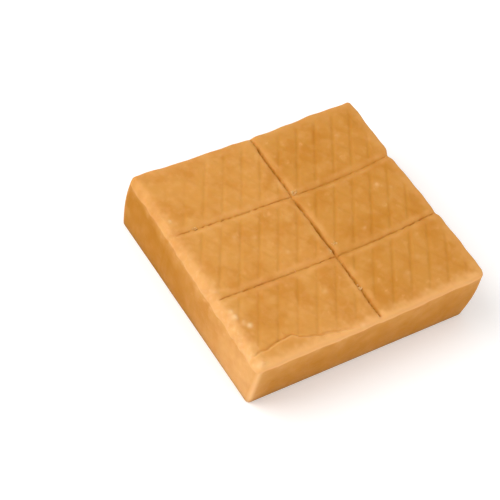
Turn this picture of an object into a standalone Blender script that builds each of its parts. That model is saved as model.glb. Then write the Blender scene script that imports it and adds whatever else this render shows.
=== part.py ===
"""A slab of vanilla fudge, scored on top into two columns of three blocks.

The slab is one piece. It was cast on a sheet with a diamond pattern, so shallow grooves run over the
whole top, and it was then scored with a thin blade that didn't go right through. X runs across the
two columns, Y along the three rows, away from the front, and Z up. The origin is the middle of the
slab's box, on the table. Everything is in metres.
"""

import math

import bmesh
import bpy

MM = 0.001

# The whole slab. Its rims stand this high above the table.
WIDTH = 92.5 * MM
LENGTH = 88.0 * MM
RIM_HEIGHT = 23.6 * MM

# The rounding of the rims, of the upright edges and of the foot. The left rim is the most worn.
RIM_RADIUS = {"left": 2.4 * MM, "right": 1.2 * MM, "front": 1.3 * MM, "back": 1.2 * MM}
RIM_STEPS = 3
UPRIGHT_RADIUS = {
    ("left", "front"): 1.4 * MM,
    ("right", "front"): 2.6 * MM,
    ("left", "back"): 1.8 * MM,
    ("right", "back"): 1.8 * MM,
}
BASE_CHAMFER = 0.6 * MM
# How far each wall leans in at the table: a left or right wall at its front and back ends, a front
# or back one at its left and right ends.
LEAN = {
    "left": (0.4 * MM, -1.7 * MM),
    "right": (2.4 * MM, 2.0 * MM),
    "front": (2.2 * MM, 0.6 * MM),
    "back": (0.8 * MM, 0.8 * MM),
}
WALL_BULGE = 0.6 * MM
WALL_LEVELS = (0.3, 0.58, 0.82)
# The rims aren't quite straight: the lengths of their waves, and how far they wander.
WAVE_LENGTHS = (27.0 * MM, 11.0 * MM)
WAVE_DEPTH = 0.12 * MM

# The scores: a thin cut at the bottom of a soft valley.
LONG_SCORE_X = 2.8 * MM
CROSS_SCORES_Y = (-14.3 * MM, 15.0 * MM)
CUT_DEPTH = 1.6 * MM
CUT_HALF_WIDTH = 0.45 * MM
# How far from each wall the cut ends, and the length that it takes to run out.
CUT_STOPS = {"left": 1.7 * MM, "right": 0.0, "front": 1.0 * MM, "back": 0.0}
CUT_RUN_OUT = 1.2 * MM
VALLEY_DEPTH = 0.55 * MM
VALLEY_REACH = 1.5 * MM
# The cross scores bend: how far each is off its row at the left rim, at the long score, halfway
# from there to the right rim, and at that rim.
CROSS_SCORE_SWAY = (
    (0.3 * MM, -0.3 * MM, -0.4 * MM, 0.5 * MM),
    (0.1 * MM, -0.6 * MM, -0.8 * MM, 0.5 * MM),
)
# Where a score reaches a rim, it leaves a rounded notch in the outline. The right and back rims are
# also drawn in and out by wide, shallow dips. Each is its place, its depth and its reach.
NOTCH_REACH = 2.0 * MM
DIPS = {
    "left": (
        (CROSS_SCORES_Y[0], 0.2 * MM, NOTCH_REACH),
        (CROSS_SCORES_Y[1], 0.3 * MM, NOTCH_REACH),
    ),
    "right": (
        (CROSS_SCORES_Y[0], 0.5 * MM, NOTCH_REACH),
        (CROSS_SCORES_Y[1], 1.1 * MM, NOTCH_REACH),
        (-40.0 * MM, 0.5 * MM, 7.0 * MM),
        (-20.0 * MM, 0.15 * MM, 6.0 * MM),
        (-7.5 * MM, 0.65 * MM, 8.0 * MM),
        (10.5 * MM, 1.0 * MM, 9.5 * MM),
        (29.0 * MM, 0.4 * MM, 4.5 * MM),
        (41.5 * MM, 0.4 * MM, 4.0 * MM),
    ),
    "front": ((LONG_SCORE_X, 0.1 * MM, NOTCH_REACH),),
    "back": (
        (LONG_SCORE_X, 0.3 * MM, NOTCH_REACH),
        (-10.0 * MM, 0.2 * MM, 9.0 * MM),
        (11.0 * MM, 0.3 * MM, 6.0 * MM),
        (29.0 * MM, -0.45 * MM, 6.0 * MM),
        (41.0 * MM, 0.45 * MM, 5.0 * MM),
    ),
}
# How far in from a rim its dips are felt.
DIP_FADE = 4.0 * MM

# Each block is a little crowned, and the whole top is dished from side to side, least at the front.
CROWN = 0.4 * MM
CROWN_POWER = 4
DISH = (1.2 * MM, 1.45 * MM)

# The diamond pattern: two sets of parallel grooves, mirrored, that run on under the scores.
GROOVE_PITCH = 6.56 * MM
GROOVE_ANGLE = math.radians(58.5)
GROOVE_HALF_WIDTH = 1.5 * MM
GROOVE_DEPTHS = (0.42 * MM, 0.32 * MM)
DIAMOND_WIDTH = GROOVE_PITCH / math.sin(GROOVE_ANGLE)
DIAMOND_LENGTH = GROOVE_PITCH / math.cos(GROOVE_ANGLE)
DIAMOND_CROSSING = (2.4 * MM, -1.55 * MM)
STEPS_PER_DIAMOND = 6
PATTERN_MARGIN = (1.0 * MM, 3.4 * MM)

# The flap: a skin of fudge smeared up over the front rim of the nearest block on the left.
# Its torn edge as (x, how far behind the front wall).
FLAP_EDGE = (
    (-44.0 * MM, 6.1 * MM),
    (-37.5 * MM, 6.7 * MM),
    (-30.0 * MM, 7.7 * MM),
    (-24.4 * MM, 4.8 * MM),
    (-6.5 * MM, 1.2 * MM),
)
FLAP_RISE = 0.5 * MM
FLAP_STEP = 1.1 * MM
FLAP_ROWS = range(2, 10)
FLAP_ROW_STEP = 1.05 * MM
# Grid lines closer than this share of the usual step are left out.
LEAST_STEP = 0.4

FUDGE_COLOUR = (0.68, 0.30, 0.075, 1.0)
FUDGE_ROUGHNESS = 0.48
SHARP_ANGLE = math.radians(35)


def clear_scene():
    """Removes what the scene holds at the start."""
    for leftover in list(bpy.data.objects):
        bpy.data.objects.remove(leftover)


def fudge_material():
    """Grained fudge: an opaque caramel tan with a waxy, satin skin."""
    material = bpy.data.materials.new("vanilla_fudge")
    material.use_nodes = True
    shader = material.node_tree.nodes["Principled BSDF"]
    shader.inputs["Base Color"].default_value = FUDGE_COLOUR
    shader.inputs["Roughness"].default_value = FUDGE_ROUGHNESS
    shader.inputs["Metallic"].default_value = 0.0
    return material


def smooth(share):
    """0 below 0, 1 above 1, and an S between them."""
    share = min(1.0, max(0.0, share))
    return share * share * (3 - 2 * share)


def bell(distance, reach):
    """1 at no distance, falling to nothing a few reaches away."""
    return math.exp(-((distance / reach) ** 2))


def between(place, points):
    """The value at a place on the straight runs through points, level past both ends."""
    if place <= points[0][0]:
        return points[0][1]
    for (start, low), (end, high) in zip(points, points[1:]):
        if place <= end:
            return low + (high - low) * (place - start) / (end - start)
    return points[-1][1]


def wall_distances(x, y):
    """How far a point of the plain outline is from each wall."""
    return {
        "left": x + WIDTH / 2,
        "right": WIDTH / 2 - x,
        "front": y + LENGTH / 2,
        "back": LENGTH / 2 - y,
    }


def nearest_walls(x, y):
    """The nearer of the left and right walls, and the nearer of the front and back ones."""
    return ("left" if x < 0 else "right"), ("front" if y < 0 else "back")


def rim_drop(x, y):
    """How far the rounded rim lies below the flat top. Round a corner one radius becomes the other."""
    distances = wall_distances(x, y)
    side, end = nearest_walls(x, y)
    reach = max(RIM_RADIUS[side], RIM_RADIUS[end])
    side_share = max(0.0, 1 - distances[side] / reach) ** 2
    end_share = max(0.0, 1 - distances[end] / reach) ** 2
    if side_share + end_share == 0:
        return 0.0
    radius = side_share * RIM_RADIUS[side] + end_share * RIM_RADIUS[end]
    radius /= side_share + end_share
    inward = radius - min(distances[side], distances[end])
    if inward <= 0:
        return 0.0
    return radius - math.sqrt(max(0.0, radius**2 - inward**2))


def score_distances(x, y):
    """How far a point is from the long score and from the nearer cross score."""
    return abs(x - LONG_SCORE_X), min(abs(y - row) for row in CROSS_SCORES_Y)


def score_drop(x, y):
    """The soft valley along each score, and the thin cut at its bottom."""
    distances = wall_distances(x, y)
    past_stops = {wall: distances[wall] - CUT_STOPS[wall] for wall in distances}
    past_ends = (
        min(past_stops["front"], past_stops["back"]),
        min(past_stops["left"], past_stops["right"]),
    )
    drop = 0.0
    for across, past_end in zip(score_distances(x, y), past_ends):
        drop += VALLEY_DEPTH * bell(across, VALLEY_REACH)
        cut = max(0.0, 1 - across / CUT_HALF_WIDTH)
        drop += CUT_DEPTH * cut * smooth(past_end / CUT_RUN_OUT)
    return drop


def crown_rise(x, y):
    """How far the top stands above the edges of its own block."""
    columns = (-WIDTH / 2, LONG_SCORE_X, WIDTH / 2)
    rows = (-LENGTH / 2, *CROSS_SCORES_Y, LENGTH / 2)
    rise = CROWN
    for value, lines in ((x, columns), (y, rows)):
        low = max([line for line in lines[:-1] if line <= value], default=lines[0])
        high = min([line for line in lines[1:] if line > low])
        rise *= 1 - (2 * (value - low) / (high - low) - 1) ** CROWN_POWER
    return rise


def dish_drop(x, y):
    """How far the dished top lies below its left and right rims: a parabola across the slab."""
    depth = DISH[0] + (DISH[1] - DISH[0]) * smooth(2 * wall_distances(x, y)["front"] / LENGTH)
    return depth * (1 - (2 * x / WIDTH) ** 2)


def pattern_share(x, y):
    """1 where the pattern is whole, 0 at a rim or a score, which pressed it flat."""
    bare, whole = PATTERN_MARGIN
    from_score = min(score_distances(x, y))
    from_rim = min(wall_distances(x, y).values()) - max(RIM_RADIUS.values()) / 2
    return smooth((min(from_score, from_rim) - bare) / (whole - bare))


def groove_drop(x, y):
    """The grooves of the diamond pattern, each a round-bottomed channel."""
    across = (x - DIAMOND_CROSSING[0]) / DIAMOND_WIDTH
    along = (y - DIAMOND_CROSSING[1]) / DIAMOND_LENGTH
    drop = 0.0
    for turns, depth in zip((across - along, across + along), GROOVE_DEPTHS):
        distance = abs(turns - round(turns)) * GROOVE_PITCH
        if distance < GROOVE_HALF_WIDTH:
            channel = depth * math.cos(math.pi / 2 * distance / GROOVE_HALF_WIDTH) ** 2
            drop = max(drop, channel)
    return drop * pattern_share(x, y)


def flap_rise(x, y):
    """The flap stands proud of the top in front of its torn edge, and thins out to the front rim."""
    if x > FLAP_EDGE[-1][0]:
        return 0.0
    torn_edge = between(x, FLAP_EDGE)
    from_front = wall_distances(x, y)["front"]
    proud = smooth((torn_edge - from_front) / FLAP_STEP + 0.5)
    return FLAP_RISE * proud * smooth(from_front / torn_edge)


def top_height(x, y):
    """The height of the top over a point of the plain outline."""
    drops = (rim_drop, score_drop, dish_drop, groove_drop)
    rises = (crown_rise, flap_rise)
    drop = sum(part(x, y) for part in drops)
    return RIM_HEIGHT - drop + sum(part(x, y) for part in rises)


def rounded_upright(x, y):
    """The plain outline's point, moved so that squares about each upright edge become circles."""
    distances = wall_distances(x, y)
    side, end = nearest_walls(x, y)
    radius = UPRIGHT_RADIUS[side, end]
    out_x = radius - distances[side]
    out_y = radius - distances[end]
    if out_x <= 0 or out_y <= 0:
        return x, y
    scale = max(out_x, out_y) / math.hypot(out_x, out_y)
    x += math.copysign(out_x * (1 - scale), -x)
    y += math.copysign(out_y * (1 - scale), -y)
    return x, y


def score_sway(x, sway):
    """How far a cross score is off its row at x: straight on the left, a parabola on the right."""
    left, middle, halfway, right = sway
    if x < LONG_SCORE_X:
        return between(x, ((-WIDTH / 2, left), (LONG_SCORE_X, middle)))
    share = (x - LONG_SCORE_X) / (WIDTH / 2 - LONG_SCORE_X)
    at_ends = middle * (1 - share) * (1 - 2 * share) + right * share * (2 * share - 1)
    return at_ends + 4 * halfway * share * (1 - share)


def cross_sway(x, y):
    """How far a point is dragged along Y, so that the cross scores bend as they were cut."""
    swayed = [(-LENGTH / 2, 0.0)]
    for row, sway in zip(CROSS_SCORES_Y, CROSS_SCORE_SWAY):
        swayed.append((row, score_sway(x, sway)))
    swayed.append((LENGTH / 2, 0.0))
    return between(y, swayed)


def rim_inset(wall, along):
    """How far the outline lies inside its straight line: the notches, the dips and the waves."""
    inset = sum(depth * bell(along - place, reach) for place, depth, reach in DIPS[wall])
    for wave_length in WAVE_LENGTHS:
        inset += WAVE_DEPTH * math.cos(2 * math.pi * along / wave_length)
    return inset


def wall_shift(wall, x, y, height):
    """How far a point moves inwards from this wall: its lean, its bulge and its rim."""
    share = height / RIM_HEIGHT
    along, length = (y, LENGTH) if wall in ("left", "right") else (x, WIDTH)
    lean = LEAN[wall][0] + (LEAN[wall][1] - LEAN[wall][0]) * (along / length + 0.5)
    near = math.exp(-wall_distances(x, y)[wall] / DIP_FADE)
    shift = lean * (1 - share) - WALL_BULGE * math.sin(math.pi * share) * near
    return shift + rim_inset(wall, along) * share**2 * near


def shaped(x, y, z):
    """The real place of a point of the plain box, as (x, y, z)."""
    on_top = z > RIM_HEIGHT - BASE_CHAMFER / 2
    height = top_height(x, y) if on_top else z
    x_share = x / WIDTH + 0.5
    y_share = y / LENGTH + 0.5
    new_x, new_y = rounded_upright(x, y)
    new_x += wall_shift("left", x, y, height) * (1 - x_share)
    new_x -= wall_shift("right", x, y, height) * x_share
    new_y += wall_shift("front", x, y, height) * (1 - y_share)
    new_y -= wall_shift("back", x, y, height) * y_share
    new_y += cross_sway(x, y)
    chamfer = max(0.0, BASE_CHAMFER - height)
    new_x *= 1 - 2 * chamfer / WIDTH
    new_y *= 1 - 2 * chamfer / LENGTH
    return new_x, new_y, height


def rim_lines(wall):
    """How far the grid lines that round a rim are from its wall, closer together nearer to it."""
    radius = RIM_RADIUS[wall]
    turns = [math.pi / 2 * step / RIM_STEPS for step in range(1, RIM_STEPS + 1)]
    return [radius * (1 - math.cos(turn)) for turn in turns]


def score_lines(middle):
    """The grid lines of one score: both edges of its cut, and its bottom."""
    return [middle - CUT_HALF_WIDTH, middle, middle + CUT_HALF_WIDTH]


def grid_lines(low, high, crossing, diamond, kept):
    """The kept lines, and the lines that put a grid point on every groove where none is close."""
    step = diamond / STEPS_PER_DIAMOND
    first = math.ceil((low - crossing) / step)
    last = math.floor((high - crossing) / step)
    lines = list(kept)
    for number in range(first, last + 1):
        line = crossing + number * step
        if all(abs(line - other) > LEAST_STEP * step for other in (*kept, low, high)):
            lines.append(line)
    return sorted(lines)


def column_lines():
    """Every X at which the plain box is cut into grid columns."""
    half = WIDTH / 2
    kept = [-half + distance for distance in rim_lines("left")]
    kept += [half - distance for distance in rim_lines("right")]
    kept += score_lines(LONG_SCORE_X)
    return grid_lines(-half, half, DIAMOND_CROSSING[0], DIAMOND_WIDTH, kept)


def row_lines():
    """Every Y at which the plain box is cut into grid rows, with more of them under the flap."""
    half = LENGTH / 2
    kept = [-half + distance for distance in rim_lines("front")]
    kept += [-half + FLAP_ROW_STEP * number for number in FLAP_ROWS]
    kept += [half - distance for distance in rim_lines("back")]
    for row in CROSS_SCORES_Y:
        kept += score_lines(row)
    return grid_lines(-half, half, DIAMOND_CROSSING[1], DIAMOND_LENGTH, kept)


def cut_across(mesh, axis, places):
    """Cuts the mesh by a plane square to the axis at each place, and keeps both halves."""
    for place in places:
        point = [0.0, 0.0, 0.0]
        normal = [0.0, 0.0, 0.0]
        point[axis] = place
        normal[axis] = 1.0
        geometry = [*mesh.verts, *mesh.edges, *mesh.faces]
        bmesh.ops.bisect_plane(mesh, geom=geometry, dist=1e-7, plane_co=point, plane_no=normal)


def plain_box():
    """A box of the slab's size, cut into the grid. The face that it stands on stays whole."""
    mesh = bmesh.new()
    bmesh.ops.create_cube(mesh, size=1.0)
    for vert in mesh.verts:
        vert.co.x *= WIDTH
        vert.co.y *= LENGTH
        vert.co.z = (vert.co.z + 0.5) * RIM_HEIGHT
    cut_across(mesh, 0, column_lines())
    cut_across(mesh, 1, row_lines())
    cut_across(mesh, 2, [BASE_CHAMFER, *(share * RIM_HEIGHT for share in WALL_LEVELS)])
    underside = [face for face in mesh.faces if face.normal.z < -0.5]
    bmesh.ops.dissolve_faces(mesh, faces=underside)
    return mesh


def fudge_slab():
    """The scored slab: the cut-up box with every point moved to its real place."""
    mesh = plain_box()
    for vert in mesh.verts:
        vert.co = shaped(*vert.co)
    xs = [vert.co.x for vert in mesh.verts]
    ys = [vert.co.y for vert in mesh.verts]
    to_middle = (-(min(xs) + max(xs)) / 2, -(min(ys) + max(ys)) / 2, 0.0)
    bmesh.ops.translate(mesh, verts=mesh.verts, vec=to_middle)
    mesh.normal_update()
    data = bpy.data.meshes.new("fudge_slab")
    mesh.to_mesh(data)
    mesh.free()
    data.shade_smooth()
    data.set_sharp_from_angle(angle=SHARP_ANGLE)
    data.materials.append(fudge_material())
    slab = bpy.data.objects.new("fudge_slab", data)
    bpy.context.scene.collection.objects.link(slab)
    return slab


clear_scene()
fudge_slab()
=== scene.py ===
"""The looks of a slab of vanilla fudge, scored on top into two columns of three blocks.

The slab was cast on a sheet with a diamond pattern, turned out, and scored with a thin blade that
didn't go right through. X runs across the two columns, Y along the three rows, away from the front,
and Z up. Sizes are in metres. The slab made here takes the place of the plain solid of the frame.
"""

import logging
import math
from collections.abc import Sequence
from dataclasses import dataclass, field
from enum import Enum

import bpy
import numpy as np
from mathutils import Matrix, Vector


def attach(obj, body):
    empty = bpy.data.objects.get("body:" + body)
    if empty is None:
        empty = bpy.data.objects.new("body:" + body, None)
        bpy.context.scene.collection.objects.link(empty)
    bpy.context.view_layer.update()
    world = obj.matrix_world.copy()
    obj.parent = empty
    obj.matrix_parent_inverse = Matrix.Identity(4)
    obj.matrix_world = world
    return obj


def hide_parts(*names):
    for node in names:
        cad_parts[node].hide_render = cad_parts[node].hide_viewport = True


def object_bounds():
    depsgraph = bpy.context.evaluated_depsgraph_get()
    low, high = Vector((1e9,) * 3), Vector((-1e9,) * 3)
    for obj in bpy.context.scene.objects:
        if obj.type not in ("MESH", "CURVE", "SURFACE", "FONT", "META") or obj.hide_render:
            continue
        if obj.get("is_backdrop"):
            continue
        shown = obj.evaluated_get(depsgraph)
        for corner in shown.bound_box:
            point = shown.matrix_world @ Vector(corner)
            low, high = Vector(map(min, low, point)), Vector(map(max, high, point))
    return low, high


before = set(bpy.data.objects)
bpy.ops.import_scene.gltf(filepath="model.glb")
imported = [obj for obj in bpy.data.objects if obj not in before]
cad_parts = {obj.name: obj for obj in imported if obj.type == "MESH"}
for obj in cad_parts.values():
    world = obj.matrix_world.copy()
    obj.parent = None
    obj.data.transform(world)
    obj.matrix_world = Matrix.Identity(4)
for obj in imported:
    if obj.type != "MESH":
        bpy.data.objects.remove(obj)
cad_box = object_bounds()

log = logging.getLogger("fudge")

MM = 0.001
BODY = "root"
CAD_NODE = "fudge_slab"


# Small tools for arrays and meshes


def smooth(share: np.ndarray) -> np.ndarray:
    """0 below 0, 1 above 1, and the S curve 3t^2 - 2t^3 between them."""
    share = np.clip(share, 0.0, 1.0)
    return share * share * (3 - 2 * share)


def bell(distance: np.ndarray, reach: float) -> np.ndarray:
    """1 at no distance, and exp(-(distance / reach)^2) away from it."""
    return np.exp(-((distance / reach) ** 2))


def spread(marks: Sequence[tuple[float, float]], usual: float, reach: float) -> np.ndarray:
    """Grid lines from the first mark to the last, closer together near each mark.

    The step is each mark's own step at the mark and grows to the usual one over the reach. Between
    two marks the lines are even in the running count of steps, so that a line falls on every mark.

    Args:
        marks: The place and the step of each mark, in rising order.
        usual: The step far from all marks.
        reach: How far from a mark the step is usual again.

    Returns:
        The places of the lines, with both end marks.
    """
    lines = [np.array([marks[0][0]])]
    for (low, low_step), (high, high_step) in zip(marks, marks[1:]):
        fine = np.linspace(low, high, 200)
        from_low = low_step + (usual - low_step) * np.clip((fine - low) / reach, 0, 1)
        from_high = high_step + (usual - high_step) * np.clip((high - fine) / reach, 0, 1)
        density = 1 / np.minimum(from_low, from_high)
        count = np.concatenate([[0.0], np.cumsum((density[1:] + density[:-1]) / 2 * np.diff(fine))])
        steps = max(1, round(count[-1]))
        wanted = np.linspace(0, count[-1], steps + 1)[1:]
        lines.append(np.interp(wanted, count, fine))
    return np.concatenate(lines)


@dataclass(frozen=True)
class Ripple:
    """A smooth random unevenness: the sum of many plane waves that run every way through space.

    Attributes:
        length: The middle wave length.
        seed: The seed of its random draws.
        stretch: How many times longer the waves are along X, Y and Z.
        count: The number of waves.
    """

    length: float
    seed: int
    stretch: tuple[float, float, float] = (1.0, 1.0, 1.0)
    count: int = 28

    def at(self, points: np.ndarray) -> np.ndarray:
        """The height of the waves.

        Args:
            points: One row of X, Y and Z for each point.

        Returns:
            One value for each point, of mean 0 and standard deviation 1.
        """
        random = np.random.default_rng(self.seed)
        ways = random.normal(size=(self.count, 3))
        ways /= np.linalg.norm(ways, axis=1, keepdims=True)
        lengths = self.length * random.uniform(0.7, 1.5, size=(self.count, 1))
        turns = ways / lengths / np.array(self.stretch)
        starts = random.uniform(0, 2 * math.pi, size=self.count)
        phase = 2 * math.pi * points @ turns.T + starts
        return np.cos(phase).sum(axis=1) * math.sqrt(2 / self.count)

    def over(self, x: np.ndarray, y: np.ndarray, limit: float = math.inf) -> np.ndarray:
        """The height of the waves over places on the plain outline.

        Args:
            x: Places across it.
            y: Places along it.
            limit: The most that the height may be, up or down.

        Returns:
            One value for each place.
        """
        places = np.stack([x, y, np.zeros_like(x)], axis=-1).reshape(-1, 3)
        return self.at(places).clip(-limit, limit).reshape(x.shape)


def mesh_object(
    name: str, points: np.ndarray, quads: np.ndarray, triangles: np.ndarray | None = None
) -> bpy.types.Object:
    """Puts arrays of points and faces into a new smooth-shaded object.

    Args:
        name: The name of the object and its mesh.
        points: One row of X, Y and Z for each point.
        quads: Four point numbers for each four-sided face.
        triangles: Three point numbers for each triangle, if there are any.

    Returns:
        The object, linked to the scene.
    """
    data = bpy.data.meshes.new(name)
    corners = [quads.reshape(-1)]
    sizes = [np.full(len(quads), 4)]
    if triangles is not None:
        corners.append(triangles.reshape(-1))
        sizes.append(np.full(len(triangles), 3))
    corners = np.concatenate(corners).astype(np.int32)
    sizes = np.concatenate(sizes).astype(np.int32)
    starts = np.concatenate([[0], np.cumsum(sizes)[:-1]]).astype(np.int32)
    data.vertices.add(len(points))
    data.vertices.foreach_set("co", points.astype(np.float32).reshape(-1))
    data.loops.add(len(corners))
    data.loops.foreach_set("vertex_index", corners)
    data.polygons.add(len(sizes))
    data.polygons.foreach_set("loop_start", starts)
    data.update(calc_edges=True)
    data.validate()
    data.shade_smooth()
    made = bpy.data.objects.new(name, data)
    bpy.context.scene.collection.objects.link(made)
    return made


def give_values(made: bpy.types.Object, name: str, values: np.ndarray) -> None:
    """Stores one number for each point of the object's mesh, which its material can read."""
    attribute = made.data.attributes.new(name, "FLOAT", "POINT")
    attribute.data.foreach_set("value", values.astype(np.float32))


def point_normals(made: bpy.types.Object) -> np.ndarray:
    """The outward directions of the object's surface.

    Args:
        made: The object.

    Returns:
        One row of X, Y and Z for each point of its mesh.
    """
    normals = np.empty(len(made.data.vertices) * 3, np.float32)
    made.data.vertex_normals.foreach_get("vector", normals)
    return normals.reshape(-1, 3).astype(float)


def triangle_count(made: bpy.types.Object) -> int:
    """The number of triangles in the object's mesh."""
    made.data.calc_loop_triangles()
    return len(made.data.loop_triangles)


def put_on_frame(piece: bpy.types.Object, finish: bpy.types.Material) -> None:
    """Gives a piece its finish, and makes it ride with the slab's body.

    Args:
        piece: The piece.
        finish: Its material.
    """
    piece.data.materials.append(finish)
    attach(piece, BODY)


# The form of the slab


class Wall(Enum):
    """The four upright sides of the slab."""

    LEFT = "left"
    RIGHT = "right"
    FRONT = "front"
    BACK = "back"

    @property
    def runs_along_y(self) -> bool:
        """Whether the wall runs along Y."""
        return self in (Wall.LEFT, Wall.RIGHT)


@dataclass(frozen=True)
class Dip:
    """A place where a rim is drawn in, or out where its depth is below 0, in a bell curve.

    Attributes:
        place: How far along the wall it is, from the wall's middle.
        depth: How deep it is.
        reach: How far from its middle it falls to a third.
    """

    place: float
    depth: float
    reach: float = 2.0 * MM


@dataclass(frozen=True)
class WallShape:
    """The sizes and the condition of one wall.

    A pair of values is for the wall's two ends: front and back, or left and right. Between them the
    value changes evenly.

    Attributes:
        rim_radius: The rounding where the wall meets the top.
        lean: How far the wall leans in at the table.
        dips: The notches that the scores leave in the rim, and the wide, shallow dips.
        rim_change: How much the rim's radius changes along the wall, as a share of it.
        rim_steps: How many grid lines round the rim.
        cut_stop: How far from the wall the thin cuts end.
        wear: How far the rim's crumbled places are off the smooth rim.
        rim_dryness_and_highlight: How pale dry sugar and a painted highlight make the rim.
        face_sheen: How pale a painted sheen makes the wall's face.
        moistness_and_shade: How dark moist fudge and painted shade make the wall's face.
    """

    rim_radius: float
    lean: tuple[float, float]
    dips: tuple[Dip, ...]
    rim_change: float = 0.08
    rim_steps: int = 5
    cut_stop: float = 0.0
    wear: tuple[float, float] = (0.008 * MM, 0.008 * MM)
    rim_dryness_and_highlight: tuple[float, float] = (0.2, 0.2)
    face_sheen: tuple[float, float] = (0.0, 0.0)
    moistness_and_shade: tuple[float, float] = (0.6, 0.6)


@dataclass(frozen=True)
class Scores:
    """The long score and the two cross scores: a thin cut at the bottom of a soft valley."""

    long_x: float = 2.8 * MM
    cross_y: tuple[float, float] = (-14.3 * MM, 15.0 * MM)
    # The depth and half the width of the long cut, and of the cross cuts.
    cut_depths: tuple[float, float] = (1.2 * MM, 0.45 * MM)
    cut_half_widths: tuple[float, float] = (0.8 * MM, 0.5 * MM)
    # How dark their bottoms are painted: painted shade in the cuts.
    cut_shade_strength: tuple[float, float] = (0.78, 0.31)
    # How strong each cut is from place to place, as (place, strength): the long one, and both
    # cross cuts. Where the blade lifted crumbs, a cut is partly filled.
    long_strength: tuple[tuple[float, float], ...] = (
        (-44 * MM, 0.75), (-32.5 * MM, 0.95), (-30.5 * MM, 0.35), (-29 * MM, 0.35), (-27 * MM, 0.95),
        (-22 * MM, 0.9), (-18 * MM, 0.5), (-14 * MM, 0.8), (-6 * MM, 1.3), (-1 * MM, 1.0),
        (6 * MM, 0.5), (10 * MM, 0.95), (14 * MM, 0.6), (18 * MM, 0.6), (24 * MM, 0.8),
        (38 * MM, 0.9), (44 * MM, 0.4),
    )
    cross_strengths: tuple[tuple[tuple[float, float], ...], ...] = (
        ((-42 * MM, 0.8), (-14.5 * MM, 0.75), (-13.8 * MM, 1.4), (-13 * MM, 0.75), (20 * MM, 0.75),
         (42 * MM, 0.5)),
        ((-42 * MM, 0.9), (-38 * MM, 0.65), (2 * MM, 0.75), (4 * MM, 0.3), (7 * MM, 0.7), (42 * MM, 0.35)),
    )
    # How long a cut takes to run out where it stops.
    run_out: float = 1.2 * MM
    valley_depth: float = 0.4 * MM
    valley_reach: float = 1.3 * MM
    # How far each cross score is off its row: at the left rim, at the long score, halfway from
    # there to the right rim, and at that rim.
    sways: tuple[tuple[float, float, float, float], ...] = (
        (0.3 * MM, -0.3 * MM, -0.4 * MM, 0.5 * MM),
        (0.1 * MM, -0.6 * MM, -0.8 * MM, 0.5 * MM),
    )
    # The long score wanders a little from side to side, and drags the grid with it.
    wander: float = 0.12 * MM
    wander_length: float = 17.0 * MM
    wander_reach: float = 4.0 * MM
    # The thin cuts are wider in some places than in others.
    width_change: float = 0.14
    width_length: float = 9.0 * MM
    # The blade tore the sides of the cuts: how far the long cut and a cross cut are off their lines,
    # how much their depths come and go, how long those changes are, and how far away they are felt.
    torn: tuple[float, float] = (0.09 * MM, 0.07 * MM)
    torn_depths: tuple[float, float] = (0.22, 0.4)
    torn_length: float = 1.7 * MM
    torn_reach: float = 0.8 * MM


@dataclass(frozen=True)
class DiamondPattern:
    """Two mirrored sets of parallel grooves, pressed in by the sheet that the slab was cast on."""

    # How far apart the grooves of a set are, and how steeply they run across the slab.
    pitch: float = 6.56 * MM
    angle: float = math.radians(58.5)
    half_width: float = 1.1 * MM
    depths: tuple[float, float] = (0.26 * MM, 0.13 * MM)
    # How much of each set's depth comes and goes, and how long those changes are.
    fading: tuple[float, float] = (0.3, 0.6)
    fading_length: float = 13.0 * MM
    # How dark the bottoms of the grooves are painted: painted shade in the grooves.
    moistness_and_shade: float = 0.2
    # A place where two grooves cross.
    crossing: tuple[float, float] = (2.4 * MM, -1.55 * MM)
    # How far from a rim or a score the pattern begins, and how far from it the pattern is whole.
    margin: tuple[float, float] = (1.0 * MM, 3.4 * MM)
    # How much of it the flap hides.
    hidden_by_flap: float = 0.8
    # Where the sheet hardly touched: the middle of that place, how far out the pattern is faint,
    # and how faint it is in the middle.
    faint_place: tuple[float, float] = (-40.0 * MM, 36.0 * MM)
    faint_reach: float = 18.0 * MM
    faintness: float = 0.85

    @property
    def width(self) -> float:
        """The width of a diamond."""
        return self.pitch / math.sin(self.angle)

    @property
    def length(self) -> float:
        """The length of a diamond."""
        return self.pitch / math.cos(self.angle)

    def distances(self, x: np.ndarray, y: np.ndarray) -> list[np.ndarray]:
        """How far each point is from the middle of the nearest groove of each set.

        Args:
            x: Places across the plain outline.
            y: Places along it.

        Returns:
            One array of distances for each set.
        """
        across = (x - self.crossing[0]) / self.width
        along = (y - self.crossing[1]) / self.length
        return [np.abs(turns - np.round(turns)) * self.pitch for turns in (across - along, across + along)]


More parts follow.
